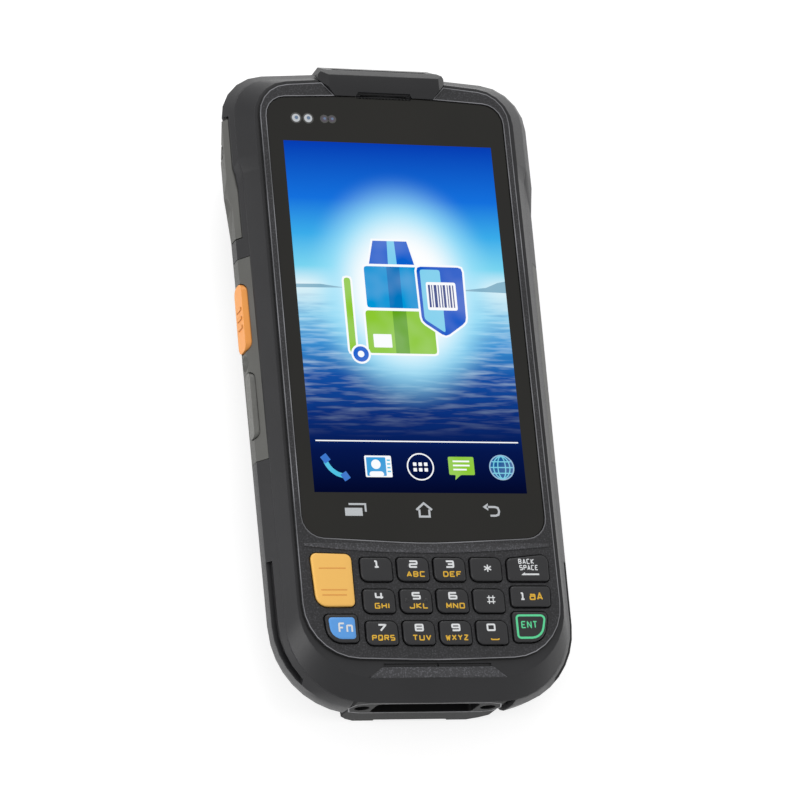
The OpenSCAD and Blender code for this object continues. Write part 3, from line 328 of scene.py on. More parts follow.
def moulded(name, colour, roughness, grain=0.25 * MM, depth=0.02 * MM, edge=0.25 * MM,
            drift=0.12, highlight_gain=2.6, shine=0.35):
    """Plastic or rubber: pressed grain, painted highlights on edges, painted shade in gaps."""
    made = Finish(name)
    cloud = made.spread(made.noise(CLOUD_SIZE, 4), 0.3, 0.7, 0, 1)
    base = made.mix(cloud, tinted(colour, 1 - drift), tinted(colour, 1 + drift))
    air = made.open_air(SHADE_WITHIN)
    # painted highlight: edges in the open are mixed towards a lighter tone of the colour
    edge_highlight = made.math("MULTIPLY", made.edge_mask(HIGHLIGHT_WITHIN),
                       made.spread(air, 0.7, 0.95, 0, 0.7))
    base = made.mix(edge_highlight, base, tinted(colour, highlight_gain))
    # painted shade: gaps and inner corners, found by ambient occlusion, are mixed towards a dark
    # tone
    base = made.mix(made.spread(air, 0.35, 0.9, 0.75, 0), base, tinted(colour, 0.2))
    fine = made.noise(grain, 3)
    made.set(Base_Color=base, Specular_IOR_Level=shine,
             Roughness=made.spread(fine, 0.3, 0.7, roughness - 0.06, roughness + 0.06))
    made.relief(fine, depth, edge)
    print("finish:", name, "grain in mm:", round(grain / MM, 2))
    return made


# %% [markdown]
# ## Soft shading for CAD solids
# A solid from CAD arrives as flat triangles whose corners aren't joined, so a rounded
# corner shows its facets. Shade Auto Smooth would fix that by hand. In a script the same
# thing is a small node tree: join the corners, shade all faces smooth, and keep an edge
# sharp only where its two faces meet at a real angle.
# A Weighted Normal modifier after it stops a narrow slope from bending the light on the
# large flat face beside it.

# %% Node tree that smooths the shading
SMOOTH_BELOW = math.radians(28)
WELD_WITHIN = 1e-6


def soft_shading():
    """A geometry node tree that joins split corners and smooths all but real edges."""
    tree = bpy.data.node_groups.new("soft_shading", "GeometryNodeTree")
    for way in ("INPUT", "OUTPUT"):
        tree.interface.new_socket("Geometry", in_out=way, socket_type="NodeSocketGeometry")
    nodes = tree.nodes
    plain = nodes.new("GeometryNodeRemoveAttribute")
    plain.inputs["Name"].default_value = "custom_normal"
    weld = nodes.new("GeometryNodeMergeByDistance")
    weld.inputs["Distance"].default_value = WELD_WITHIN
    smooth = nodes.new("GeometryNodeSetShadeSmooth")
    angle = nodes.new("GeometryNodeInputMeshEdgeAngle")
    real_edge = nodes.new("FunctionNodeCompare")
    real_edge.inputs[1].default_value = SMOOTH_BELOW
    sharp = nodes.new("GeometryNodeSetShadeSmooth")
    sharp.domain = "EDGE"
    sharp.inputs["Shade Smooth"].default_value = False
    tree.links.new(angle.outputs["Unsigned Angle"], real_edge.inputs[0])
    tree.links.new(real_edge.outputs[0], sharp.inputs["Selection"])
    chain = [nodes.new("NodeGroupInput"), plain, weld, smooth, sharp,
             nodes.new("NodeGroupOutput")]
    for before, after in zip(chain, chain[1:]):
        tree.links.new(before.outputs[0], after.inputs[0])
    return tree


SOFT = soft_shading()


def dress(names, finish):
    """Gives solids a finish and soft shading, with normals set by their large faces."""
    for name in names:
        piece = solids[name]
        piece.data.materials.clear()
        piece.data.materials.append(finish.material)
        piece.modifiers.new("soft_shading", "NODES").node_group = SOFT
        piece.modifiers.new("large_faces_flat", "WEIGHTED_NORMAL").keep_sharp = True
    print(finish.material.name, "on:", *names)


# %% [markdown]
# ## The two housings
# The case is charcoal plastic. Its sides are satin, but the raised face round the glass
# and the keys, and a pad at the tail, came out of a coarser mould and glitter a little.
# The glitter is painted glints: light flecks in the colour. The brow over the keys and the
# pad are painted lighter, on the brow as painted light on a slope that faces the lamps.
# Two materials on one solid would need faces to be picked by hand. A mask from the
# height and the place of the surface does it inside one material, and it follows the
# solid wherever it goes.

# %% Charcoal mouldings
LEDGE_TOP = GLASS_TOP - 0.45 * MM
PANEL_TOP = GLASS_TOP + 0.25 * MM
PAD_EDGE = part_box("dock_nose")[0].y + 8.5 * MM
BROW_LOW = GLASS_LOW.y - 2.45 * MM
BROW_HALF, BROW_BOW = 29.7 * MM, 1.6 * MM


def housing_finish():
    """Charcoal with painted glints on the face, and brow and tail pad painted lighter."""
    made = moulded("charcoal_moulding", colour_of(34, 34, 36), 0.4, edge=0.35 * MM,
                   highlight_gain=2.8, shine=0.32)
    along = made.add("ShaderNodeSeparateXYZ", Vector=made.place).outputs
    raised = made.spread(along["Z"], LEDGE_TOP + 0.05 * MM, LEDGE_TOP + 0.15 * MM, 0, 1)
    bow = made.math("MULTIPLY", along["X"], along["X"])
    bow = made.math("MULTIPLY", bow, BROW_BOW / BROW_HALF ** 2)
    brow = made.spread(made.math("SUBTRACT", along["Y"], bow), BROW_LOW, BROW_LOW + 2 * MM, 1, 0.1)
    brow = made.math("MULTIPLY", brow, made.spread(
        along["Z"], PANEL_TOP + 0.05 * MM, PANEL_TOP + 0.1 * MM, 0, 1))
    pad = made.spread(along["Y"], PAD_EDGE, PAD_EDGE - 0.2 * MM, 0, 1)
    lighter_bands = made.math("MAXIMUM", brow, made.math("MULTIPLY", raised, pad))
    # painted glints: light flecks over the raised face, strongest on brow and pad
    painted_glints = made.spread(made.noise(0.34 * MM, 1), 0.5, 0.75, 0, 1)
    painted_glints = made.math("MULTIPLY", painted_glints, made.math(
        "MULTIPLY", raised, made.spread(lighter_bands, 0, 1, 0.22, 0.6)))
    base = made.shader.inputs["Base Color"].links[0].from_socket
    # brow and pad painted lighter; on the brow it is painted light of a slope facing the lamps
    base = made.mix(made.math("MULTIPLY", lighter_bands, 0.5), base, colour_of(74, 74, 77))
    made.set(Base_Color=made.mix(painted_glints, base, colour_of(122, 122, 128)))
    return made


dress(["front_housing", "rear_housing"], housing_finish())

# %% [markdown]
# ## Darker plastics and rubber
# Round the charcoal case sit the scanner cap and the doors in a blacker plastic, the
# dock nose that swallows all light, soft grips, a pebbled rocker and an orange trigger.
# A copy of one material for each would drift apart from the others. The recipe is called
# again with other amounts: a rubber is rougher and less shiny, pebbles are a large grain.

# %% Black mouldings, rubber and orange
dress(["scanner_cap", "battery_cover", "battery_latch", "power_button"],
      moulded("black_moulding", colour_of(27, 27, 29), 0.36, edge=0.3 * MM, highlight_gain=3.6, shine=0.34))
dress(["dock_nose"],
      moulded("nose_moulding", colour_of(13, 13, 14), 0.5, edge=0.3 * MM, highlight_gain=4.0, shine=0.12))
dress(["left_grip", "right_grip", "port_cover"],
      moulded("grip_rubber", colour_of(90, 90, 87), 0.5, grain=0.4 * MM, depth=0.03 * MM,
              highlight_gain=1.7))
dress(["volume_rocker"],
      moulded("rocker_rubber", colour_of(110, 110, 107), 0.5, grain=0.9 * MM, depth=0.12 * MM,
              highlight_gain=1.6))
seal_rubber = moulded("seal_rubber", colour_of(16, 16, 17), 0.5, highlight_gain=1.5)
dress(["housing_seal"], seal_rubber)
dress(["trigger"],
      moulded("orange_moulding", colour_of(255, 168, 84), 0.42, depth=0.01 * MM, drift=0.03,
              highlight_gain=1.1))
amber_moulding = moulded("amber_moulding", colour_of(255, 198, 104), 0.42, depth=0.01 * MM,
                         drift=0.02, highlight_gain=1.4)
key_moulding = moulded("key_moulding", colour_of(36, 36, 38), 0.42, grain=0.18 * MM,
                       edge=0.3 * MM, highlight_gain=3.0)

# %% [markdown]
# ## Reading outlines off a solid
# Several pieces have to follow a CAD outline exactly: the caps of the keys, the groove
# round the face, the inlay of a key. We could type the outlines in again, but two
# copies of one shape drift apart as soon as somebody changes it.
# The outline is already in the solid: it is the rim of the faces that lie flat at a
# given height. BMesh lets a script walk along that rim.

# %% Outlines of a solid
def outline_at(name, height):
    """The longest rim of a solid's flat faces at a height, as points (x, y) in millimetres."""
    work = bmesh.new()
    work.from_mesh(solids[name].data)
    bmesh.ops.remove_doubles(work, verts=work.verts, dist=WELD_WITHIN)
    flat = {f for f in work.faces
            if f.normal.z > 0.99 and abs(f.calc_center_median().z - height) < 0.02 * MM}
    after = {}
    for face in flat:
        for loop in face.loops:
            if sum(f in flat for f in loop.edge.link_faces) == 1:
                after[loop.vert] = loop.link_loop_next.vert
    rims = []
    while after:
        rim = [next(iter(after))]
        while rim[-1] in after:
            rim.append(after.pop(rim[-1]))
        rims.append([Vector((v.co.x, v.co.y)) / MM for v in rim[:-1]])
    work.free()
    return max(rims, key=lambda rim: sum((a - b).length for a, b in zip(rim, rim[1:])))


def inset(outline, amount):
    """An outline that runs anticlockwise, moved inwards; a negative amount moves it out."""
    moved = []
    before_all, after_all = outline[-1:] + outline[:-1], outline[1:] + outline[:1]
    for before, here, after in zip(before_all, outline, after_all):
        a, b = (here - before).normalized(), (after - here).normalized()
        inwards = Vector((-a.y - b.y, a.x + b.x)).normalized()
        moved.append(here + inwards * amount / max(0.5, inwards.dot(Vector((-a.y, a.x)))))
    return moved


face_outline = outline_at("front_housing", PANEL_TOP)
print("points round the face:", len(face_outline))

# %% Simple paths
def softened(path, radius, closed=False):
    """A path whose corners are cut off and rounded."""
    path = [Vector(p) for p in path]
    soft = [] if closed else [path[0]]
    spots = range(len(path)) if closed else range(1, len(path) - 1)
    for i in spots:
        here, before, after = path[i], path[i - 1], path[(i + 1) % len(path)]
        reach = min(radius, (before - here).length / 2.1, (after - here).length / 2.1)
        start = here + (before - here).normalized() * reach
        end = here + (after - here).normalized() * reach
        soft += [start, start / 4 + here / 2 + end / 4, end]
    return soft if closed else soft + [path[-1]]


def box_path(x0, y0, x1, y1, radius=0.0):
    """A box from its lower left to its upper right corner, with rounded corners."""
    path = [(x0, y0), (x1, y0), (x1, y1), (x0, y1)]
    return softened(path, radius, True) if radius else [Vector(p) for p in path]


def ring_path(x, y, radius, steps=24, narrow=1.0):
    """A circle, or an upright ellipse where narrow is below 1."""
    turns = [math.tau * k / steps for k in range(steps)]
    return [Vector((x + narrow * radius * math.cos(a), y + radius * math.sin(a))) for a in turns]


print("points in a soft box:", len(box_path(0, 0, 2, 1, 0.2)))

# %% [markdown]
# ## Drawing in thin layers
# Print on a key, icons on the glass and the picture on the screen are all the same thing:
# flat shapes in ink, some of them over others. An image would do, but then every letter
# has a resolution. Here each shape is a real face with its own colour, a few
# thousandths of a millimetre above the one below it.
# One mesh can hold them all, because the colour is stored on the faces and the material
# reads it from there.

# %% A drawing made of faces
NO_INK = (1, 1, 1, 1)


class Drawing:
    """Flat shapes that lie on a surface, each with a colour and a layer."""

    def __init__(self, height, home=(0, 0), step=0.004):
        self.height = height if callable(height) else lambda x, y: height
        self.home = self.pen = Vector(home)
        self.step = step
        self.points, self.faces, self.inks = [], [], []

    def at(self, x, y):
        """Moves the place that shapes are drawn round, given from the drawing's home."""
        self.pen = self.home + Vector((x, y))

    def add(self, points, faces, ink, layer):
        """Adds faces, all of them turned to look up."""
        start = len(self.points)
        for x, y in (self.pen + p for p in points):
            self.points.append((x, y, self.height(x, y) + layer * self.step))
        for face in faces:
            a, b, c = (points[k] for k in face[:3])
            if (b - a).cross(c - a) < 0:
                face = tuple(reversed(face))
            self.faces.append(tuple(start + k for k in face))
            self.inks.append(ink)

    def shape(self, outline, ink, layer=0):
        """A filled outline."""
        points = [Vector(p) for p in outline]
        self.add(points, tessellate_polygon([[p.to_3d() for p in points]]), ink, layer)

    def band(self, path, width, ink, layer=0, closed=False):
        """A stroke of even width along a path, with mitred corners."""
        path = [Vector(p) for p in path]
        count = len(path)
        points = []
        for i, here in enumerate(path):
            before = path[i - 1] if closed or i else here * 2 - path[1]
            after = path[(i + 1) % count] if closed or i < count - 1 else here * 2 - path[-2]
            a, b = (here - before).normalized(), (after - here).normalized()
            side = Vector((-a.y - b.y, a.x + b.x)).normalized()
            reach = width / 2 / max(0.4, side.dot(Vector((-a.y, a.x))))
            points += [here + side * reach, here - side * reach]
        ends = len(points)
        faces = [(k, k + 1, (k + 3) % ends, (k + 2) % ends)
                 for k in range(0, ends if closed else ends - 2, 2)]
        self.add(points, faces, ink, layer)

    def lay(self, name, finish, body, slot, upright=False):
        """Turns the drawing into a piece that rides on a body; upright makes it face the tail."""
        points = [(x, -z, y) for x, y, z in self.points] if upright else self.points
        made = mesh_object(name, [Vector(p) * MM for p in points], self.faces, finish.material)
        ink = made.data.color_attributes.new("ink", "FLOAT_COLOR", "CORNER")
        for face, colour in zip(made.data.polygons, self.inks):
            for corner in face.loop_indices:
                ink.data[corner].color = colour
        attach(made, body)
        print(name, "faces:", len(self.faces))


# %% [markdown]
# ## Signs on the glass
# Above the screen sit two pairs of small sensors, below it three touch keys: recent
# tasks, home and back. All are printed or set behind the glass, right at its face.
# We could cut the glass open for them, but what the eye sees is only their colour. So
# they are drawn in ink, in layers thinner than a hair.
# Printed ink is matt, and a little of it is rubbed to grey.

# %% Sensors and touch keys
GLASS_HOME = GLASS_MIDDLE.xy / MM
GLASS_FACE = GLASS_TOP / MM + 0.004
SENSOR_Y, TOUCH_KEY_Y = 49.0, -47.3
SILVER = colour_of(198, 202, 206)
DIM = colour_of(70, 62, 78)

border = Drawing(GLASS_FACE, GLASS_HOME)
for x, size, ink in ((-22.3, 1.0, SILVER), (-19.3, 1.0, SILVER), (-15.3, 0.7, DIM),
                     (-13.4, 0.7, DIM)):
    border.at(x, SENSOR_Y)
    border.shape(ring_path(0, 0, size + 0.35), colour_of(58, 58, 56), 1)
    border.shape(ring_path(0, 0, size), ink, 2)
    border.shape(ring_path(0.1, 0.1, size * 0.45), colour_of(96, 120, 150), 3)
border.at(-16.4, TOUCH_KEY_Y)
border.shape(box_path(-2.6, -1.5, 1.6, 0.4), SILVER, 1)
border.band([(-1.6, 1.3), (2.4, 1.3), (2.4, -0.5)], 0.45, SILVER, 1)
border.at(0.2, TOUCH_KEY_Y - 0.1)
border.band([(-1.9, 0.1), (0, 1.7), (1.9, 0.1)], 0.5, SILVER, 1)
border.band([(-1.2, 0.2), (-1.2, -1.5), (1.2, -1.5), (1.2, 0.2)], 0.5, SILVER, 1)
border.at(16.8, TOUCH_KEY_Y)
border.band(softened([(-1.2, 0.8), (1.7, 0.8), (1.7, -1.3), (-0.5, -1.3)], 0.9), 0.5, SILVER, 1)
border.shape([(-2.2, 0.8), (-0.9, -0.1), (-0.9, 1.7)], SILVER, 1)

printed_ink = Finish("printed_ink")
rubbed_ink = printed_ink.spread(printed_ink.noise(0.5 * MM, 3), 0.35, 0.75, 0, 0.12)
printed_ink.set(Base_Color=printed_ink.mix(rubbed_ink, printed_ink.ink(), colour_of(120, 120, 120)),
                Roughness=printed_ink.spread(printed_ink.noise(0.2 * MM), 0.3, 0.7, 0.42, 0.55))
border.lay("glass_signs", printed_ink, "terminal", "clear_glass")

# %% [markdown]
# ## The dark glass
# The dark border of a touch screen is ink on the back of the glass, so close under it
# that ink and glass read as one thing: a warm black with a mirror on top. Clear glass
# over a dark sheet would show the same, but every ray would have to choose between going
# through and bouncing off, and the picture would be full of grain.
# So the whole glass gets the dark mirror, with faint smears of fingers in its roughness.

# %% Glass with smears
glass = Finish("touch_glass")
warmth = glass.spread(glass.noise(20 * MM), 0.3, 0.7, 0, 1)
glass.set(Base_Color=glass.mix(warmth, colour_of(21, 20, 16), colour_of(25, 24, 19)),
          Roughness=glass.spread(glass.noise(11 * MM, 3), 0.4, 0.75, 0.03, 0.1),
          Specular_IOR_Level=0.27,
          Normal=glass.add("ShaderNodeBevel", Radius=0.3 * MM).outputs[0])
dress(["touch_glass"], glass)

# %% [markdown]
# ## The picture on the screen
# A lit screen is a lamp, so its material gives off light instead of reflecting it, and
# its colours come out just as they are typed in.
# The wallpaper is a sky over water. It is a ramp of colours from bottom to top, with
# long flat ripples: noise that is stretched sideways.

# %% Sky over water
PICTURE_W, PICTURE_L = 51.84, 86.4
# height from the middle of the glass in millimetres, and the colour there
SKY = [(-43.2, (2, 8, 42)), (-33, (5, 22, 76)), (-24, (10, 44, 118)), (-15, (18, 76, 160)),
       (-7, (60, 146, 212)), (0, (140, 205, 236)), (5, (206, 236, 246)), (7.5, (226, 244, 250)),
       (12, (120, 212, 240)), (20, (58, 172, 234)), (29, (20, 112, 220)), (43.2, (6, 60, 178))]


def lit(made, colour):
    """Swaps the shader of a finish for light of that colour."""
    made.nodes.remove(made.shader)
    glow = made.add("ShaderNodeEmission", Color=colour)
    made.put(made.nodes["Material Output"].inputs["Surface"], glow.outputs[0])


wallpaper = Finish("wallpaper")
upwards = wallpaper.add("ShaderNodeSeparateXYZ", Vector=wallpaper.place).outputs["Y"]


def rising(low, high):
    """A value that goes from 0 to 1 between two heights from the middle of the glass."""
    low, high = ((GLASS_HOME.y + y) * MM for y in (low, high))
    return wallpaper.spread(upwards, low, high, 0, 1)


ramp = wallpaper.add("ShaderNodeValToRGB", Fac=rising(-PICTURE_L / 2, PICTURE_L / 2))
stops = ramp.color_ramp.elements
while len(stops) < len(SKY):
    stops.new(0.5)
for stop, (y, colour) in zip(stops, SKY):
    stop.position = y / PICTURE_L + 0.5
for stop, (y, colour) in zip(stops, SKY):
    stop.color = colour_of(*colour)

ripple = wallpaper.streaks((90, 900, 0))
water = wallpaper.math("MULTIPLY", rising(6.5, 2), rising(-30, -8))
waves = wallpaper.math("MULTIPLY", water, wallpaper.spread(ripple, 0.35, 0.7, -0.25, 0.5))
troughs = wallpaper.math("MULTIPLY", water, wallpaper.spread(ripple, 0.5, 0.3, 0, 0.35))
sea = wallpaper.mix(troughs, ramp.outputs["Color"], colour_of(18, 92, 176))
sea = wallpaper.mix(wallpaper.math("MAXIMUM", waves, 0.0), sea, colour_of(214, 238, 248))
print("colours in the sky:", len(stops))

# %% [markdown]
# ## The glow in the middle
# A pale glow stands behind the larger drawing and fades out into the blue.
# A gradient texture could draw it, but only round the object's own zero. A distance that
# is squeezed and moved first makes an ellipse wherever it is wanted, and a smooth step
# keeps its edge soft.

# %% Glow, and the picture laid down
GLOW_AT, GLOW_HALF = (0.5, 6), (21, 25)
spot = wallpaper.add("ShaderNodeMapping", Vector=wallpaper.place)
spot.inputs["Location"].default_value = (
    -GLOW_AT[0] / GLOW_HALF[0], -(GLASS_HOME.y + GLOW_AT[1]) / GLOW_HALF[1], 0)
spot.inputs["Scale"].default_value = (1 / GLOW_HALF[0] / MM, 1 / GLOW_HALF[1] / MM, 0)
far = wallpaper.add("ShaderNodeVectorMath", Vector=spot.outputs[0])
far.operation = "LENGTH"
for outer, inner, colour in ((1.25, 0.6, (156, 226, 250)), (0.95, 0.35, (255, 255, 255))):
    share = wallpaper.spread(far.outputs["Value"], outer, inner, 0, 1, smooth=True)
    sea = wallpaper.mix(share, sea, colour_of(*colour))
lit(wallpaper, sea)

picture = Drawing(GLASS_FACE, GLASS_HOME)
picture.shape(box_path(-PICTURE_W / 2, -PICTURE_L / 2, PICTURE_W / 2, PICTURE_L / 2), NO_INK)
picture.lay("picture", wallpaper, "terminal", "display")

# %% [markdown]
# ## Icons over the wallpaper
# Near the lower edge of the wallpaper lie a thin white line and five small icons: a
# handset, a card, an app grid, a speech bubble and a globe.
# Each could be a small image. Built from outlines, filled shapes and strokes, they stay
# crisp at any distance, and their colours stay flat and strong, as icons are.

# %% Row of icons
ICON_Y = -36.9
WHITE = colour_of(250, 252, 255)
CYAN = colour_of(60, 190, 225)
DEEP = colour_of(0, 105, 200)
LEAF = colour_of(140, 200, 50)
SEA = colour_of(0, 150, 215)
PALE = colour_of(120, 205, 225)
screen = Drawing(GLASS_FACE + 0.003, GLASS_HOME, 0.002)
screen.band([(-24.6, -30.8), (25, -30.8)], 0.3, WHITE, 1)

# handset
screen.at(-20.4, ICON_Y)
handset = [(-2.3, 2.1), (-2.2, 0.9), (-1.2, -0.7), (0.3, -1.9), (2.3, -2.5)]
screen.band(softened(handset, 0.6), 1.1, CYAN, 1)
screen.band([(-2.9, 1.3), (-1.5, 2.3)], 1.9, DEEP, 2)
screen.band([(1.6, -2.9), (3.0, -2.0)], 1.9, DEEP, 2)

# card
screen.at(-10, ICON_Y)
screen.shape(box_path(-3.2, -2.6, 3.3, 2.6, 0.3), WHITE, 1)
screen.shape(box_path(-2.8, -2.3, 1.9, 2.2, 0.2), SEA, 2)
screen.shape(ring_path(-0.5, 0.5, 1.15), WHITE, 3)
shoulders = [(-2.4, -2.3), (1.4, -2.3), (1.1, -1.2), (-2.1, -1.2)]
screen.shape(softened(shoulders, 0.6, True), WHITE, 3)
for k in range(4):
    screen.band([(2.2, 1.5 - 0.9 * k), (3.0, 1.5 - 0.9 * k)], 0.35, CYAN, 2)

# app grid
screen.at(0.3, ICON_Y)
screen.band(ring_path(0, 0, 3.15, 32), 0.32, WHITE, 1, closed=True)
for k in range(6):
    x, y = (k % 3 - 1) * 1.35, 0.62 - (k // 3) * 1.35
    screen.shape(box_path(x - 0.42, y - 0.42, x + 0.42, y + 0.42, 0.1), WHITE, 1)

# speech bubble
screen.at(10.4, ICON_Y)
bubble = [(-3.2, -1.9), (-1.6, -1.9), (-1.9, -3.2), (-0.4, -1.9), (3.1, -1.9), (3.1, 2.5),
          (-3.2, 2.5)]
screen.shape(softened(bubble, 0.35, True), LEAF, 1)
for y, end in ((1.4, 2.0), (0.4, 2.0), (-0.6, 1.2)):
    screen.band([(-2.1, y), (end, y)], 0.4, WHITE, 2)

# globe
screen.at(20.3, ICON_Y)
screen.shape(ring_path(0, 0, 2.95, 32), colour_of(30, 90, 150), 1)
for narrow in (0.35, 0.75):
    screen.band(ring_path(0, 0, 2.7, 24, narrow), 0.28, PALE, 2, closed=True)
for y, half in ((-1.4, 2.35), (0, 2.75), (1.4, 2.35)):
    screen.band([(-half, y), (half, y)], 0.28, PALE, 2)
screen.band(ring_path(0, 0, 2.95, 32), 0.3, colour_of(150, 190, 220), 2, closed=True)
print("faces in the icons:", len(screen.faces))

# %% [markdown]
# ## Parcels on a sack truck
# The larger drawing in the middle shows what the terminal is for: parcels on a sack
# truck and a label with a bar code, with low hills on the horizon behind.
# A white rim sets each piece off from the wallpaper. It could be a stroke round each
# outline; the same outline, a little larger and one layer lower, takes one call.

# %% Parcels and a bar code label
def sticker(outline, ink, layer):
    """A shape with a white rim below it."""
    outline = [Vector(p) for p in outline]
    screen.shape(inset(outline, -0.5), WHITE, layer)
    screen.shape(outline, ink, layer + 1)


HILL = colour_of(132, 178, 200)
PARCEL_BLUE = colour_of(10, 95, 205)
screen.at(0, 0)
screen.shape([(-25.92, 6.5), (-14, 6.7), (-20, 7.5), (-25.92, 7.4)], HILL, 1)
screen.shape([(14, 6.6), (25.92, 6.3), (25.92, 9.2), (24, 8.8), (21, 7.5)], HILL, 1)

sticker(box_path(-9.6, -9.3, 7.2, 1.2, 0.7), LEAF, 3)
screen.shape(box_path(-2.9, -9.3, 0.5, 1.2), colour_of(98, 165, 22), 5)
screen.shape(box_path(-8.2, -7.9, -3.7, -4.6, 0.2), WHITE, 5)
sticker(box_path(-9.0, 1.9, 5.6, 12.2, 0.7), SEA, 6)
screen.shape(box_path(-3.4, 1.9, -0.2, 12.2), colour_of(0, 118, 190), 8)
sticker([(-7.6, 12.8), (3.6, 12.8), (2.2, 18.6), (-6.2, 18.6)], PARCEL_BLUE, 6)
tape = [(-2.9, 12.8), (-0.7, 12.8), (-0.9, 18.6), (-2.7, 18.6)]
screen.shape(tape, colour_of(120, 205, 240), 8)
sticker(box_path(-14.2, -9.3, -12.6, 9.2, 0.7), LEAF, 3)
sticker(ring_path(-11.6, -9.6, 1.9), PARCEL_BLUE, 6)
screen.shape(ring_path(-11.6, -9.6, 0.8), WHITE, 8)

label = [(4.2, -1.2), (9.8, -5.0), (15.2, -1.2), (15.4, 12.4), (4.0, 12.4)]
sticker(softened(label, 1.1, True), colour_of(10, 88, 200), 10)
half_label = [(4.9, -0.7), (9.8, -4.0), (9.8, 11.7), (4.8, 11.7)]
screen.shape(softened(half_label, 0.6, True), colour_of(128, 208, 238), 12)
screen.shape(box_path(6.0, 1.6, 13.4, 8.6, 0.5), WHITE, 13)
bar = 6.5
for width, gap in ((0.5, 0.3), (0.25, 0.35), (0.7, 0.3), (0.3, 0.4), (0.3, 0.25), (0.6, 0.4),
                   (0.25, 0.3), (0.45, 0.35), (0.3, 0)):
    screen.shape(box_path(bar, 2.3, bar + width, 7.9), colour_of(12, 50, 130), 14)
    bar += width + gap

screen_ink = Finish("screen_ink")
shade = screen_ink.spread(screen_ink.noise(7 * MM, 1), 0.3, 0.7, 0, 0.1)
lit(screen_ink, screen_ink.mix(shade, screen_ink.ink(), colour_of(255, 255, 255)))
screen.lay("screen_drawing", screen_ink, "terminal", "display")

# %% [markdown]
# ## Caps for the keys
# A key that a thumb meets a thousand times a day has no sharp rim and no flat top. CAD
# gives the key its outline and its height; the cap drawn here keeps both and adds what
# makes it read as a key: a rounded rim and a slightly crowned top.
# A Bevel modifier could round the rim, but not crown the top. So the cap is a skin over
# rings: the rim leans inwards along a quarter circle, and the crown is a few more rings
# that shrink to the middle, each a little higher than the last.

# %% Skin over rings
def skinned(name, rings, finish, body, peak=None):
    """A skin over rings with equal numbers of points in millimetres, closed by a peak."""
    count = len(rings[0])
    points = [Vector(p) * MM for ring in rings for p in ring]
    sides = [(i, (i + 1) % count) for i in range(count)]
    faces = [(r + i, r + j, r + count + j, r + count + i)
             for r in range(0, (len(rings) - 1) * count, count) for i, j in sides]
    if peak:
        last = (len(rings) - 1) * count
        faces += [(last + i, last + j, len(points)) for i, j in sides]
        points.append(Vector(peak) * MM)
    made = mesh_object(name, points, faces, finish.material)
    made.data.shade_smooth()
    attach(made, body)
    return made


def lathed(name, profile, middle, finish, body, steps=32):
    """A round piece from a profile of (radius, height), turned round an upright axis."""
    peak = (*middle, profile[-1][1]) if profile[-1][0] == 0 else None
    way = -1 if profile[-1][1] < profile[0][1] else 1
    turns = [way * math.tau * k / steps for k in range(steps)]
    rings = [[(middle[0] + r * math.cos(a), middle[1] + r * math.sin(a), z) for a in turns]
             for r, z in profile if r > 0]
    return skinned(name, rings, finish, body, peak)


KEY_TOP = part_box("key_5")[1].z / MM
KEY_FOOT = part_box("key_5")[0].z / MM + 0.8
print("keys from", round(KEY_FOOT, 2), "to", round(KEY_TOP, 2), "mm")

# %% Shape of a cap
CROWN = 0.12
RIM = 0.4
RIM_TURNS = [math.radians(turn) for turn in range(0, 90, 18)]
CROWN_SHARES = (1, 0.8, 0.6, 0.4, 0.2)


class Cap:
    """The shape of one key cap: its outline, and its height at any place."""

    def __init__(self, key):
        self.outline = outline_at(key, KEY_TOP * MM)
        xs, ys = [p.x for p in self.outline], [p.y for p in self.outline]
        self.middle = Vector(((min(xs) + max(xs)) / 2, (min(ys) + max(ys)) / 2))
        self.size = Vector((max(xs) - min(xs), max(ys) - min(ys)))

    def height(self, x, y):
        """Height of the crown: highest in the middle, lower by CROWN at the outline."""
        share = 0.0
        for a, b in zip(self.outline, self.outline[1:] + self.outline[:1]):
            out = Vector((b.y - a.y, a.x - b.x))
            reach = max(out.dot(a - self.middle), 1e-6)
            share = max(share, out.dot(Vector((x, y)) - self.middle) / reach)
        return KEY_TOP - CROWN * min(share, 1) ** 2

    def crown(self, outline, lift=0.0):
        """Rings over the crown from an outline to the middle."""
        rings = [[self.middle + (p - self.middle) * share for p in outline]
                 for share in CROWN_SHARES]
        return [[(p.x, p.y, self.height(p.x, p.y) + lift) for p in ring] for ring in rings]

    def rings(self):
        """Foot, rounded rim and crown."""
        rings = [[(p.x, p.y, KEY_FOOT) for p in self.outline]]
        rim_top = inset(self.outline, RIM)
        for turn in RIM_TURNS:
            moved = inset(self.outline, RIM * (1 - math.cos(turn)))
            drop = RIM * (1 - math.sin(turn))
            rings.append([(p.x, p.y, self.height(q.x, q.y) - drop)
                          for p, q in zip(moved, rim_top)])
        return rings + self.crown(rim_top)

    def within(self, margin):
        """The outline made smaller to leave a margin; its corners stay round."""
        x_share, y_share = (1 - 2 * margin / size for size in self.size)
        return [self.middle + Vector((x_share * (p.x - self.middle.x),
                                      y_share * (p.y - self.middle.y))) for p in self.outline]


CAPS = {key: Cap(key) for key in solids if key.startswith("key_")}
print("caps:", len(CAPS), "widest in mm:", round(max(cap.size.x for cap in CAPS.values()), 2))

# %% Put the caps on
SPECIAL_CAPS = {"key_scan": (amber_moulding, "orange"), "key_fn": (key_moulding, "key_blue")}
for key, cap in CAPS.items():
    finish, slot = SPECIAL_CAPS.get(key, (key_moulding, "key_grey"))
    made = skinned(key + "_cap", cap.rings(), finish, key, (*cap.middle, KEY_TOP))
    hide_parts(key)
print("capped:", *CAPS)

# %% [markdown]
# ## Writing on the keys
# The digits are wide and square, as on most keypads that are read at arm's length. A text
# object has no such font, and a font file would be one more file to carry around.
# So each sign is written as strokes between the points of a small grid: a letter for the
# column, from l at the left to r at the right, and a number for the row. A sign can then
# be stretched to any size while its strokes keep their width.

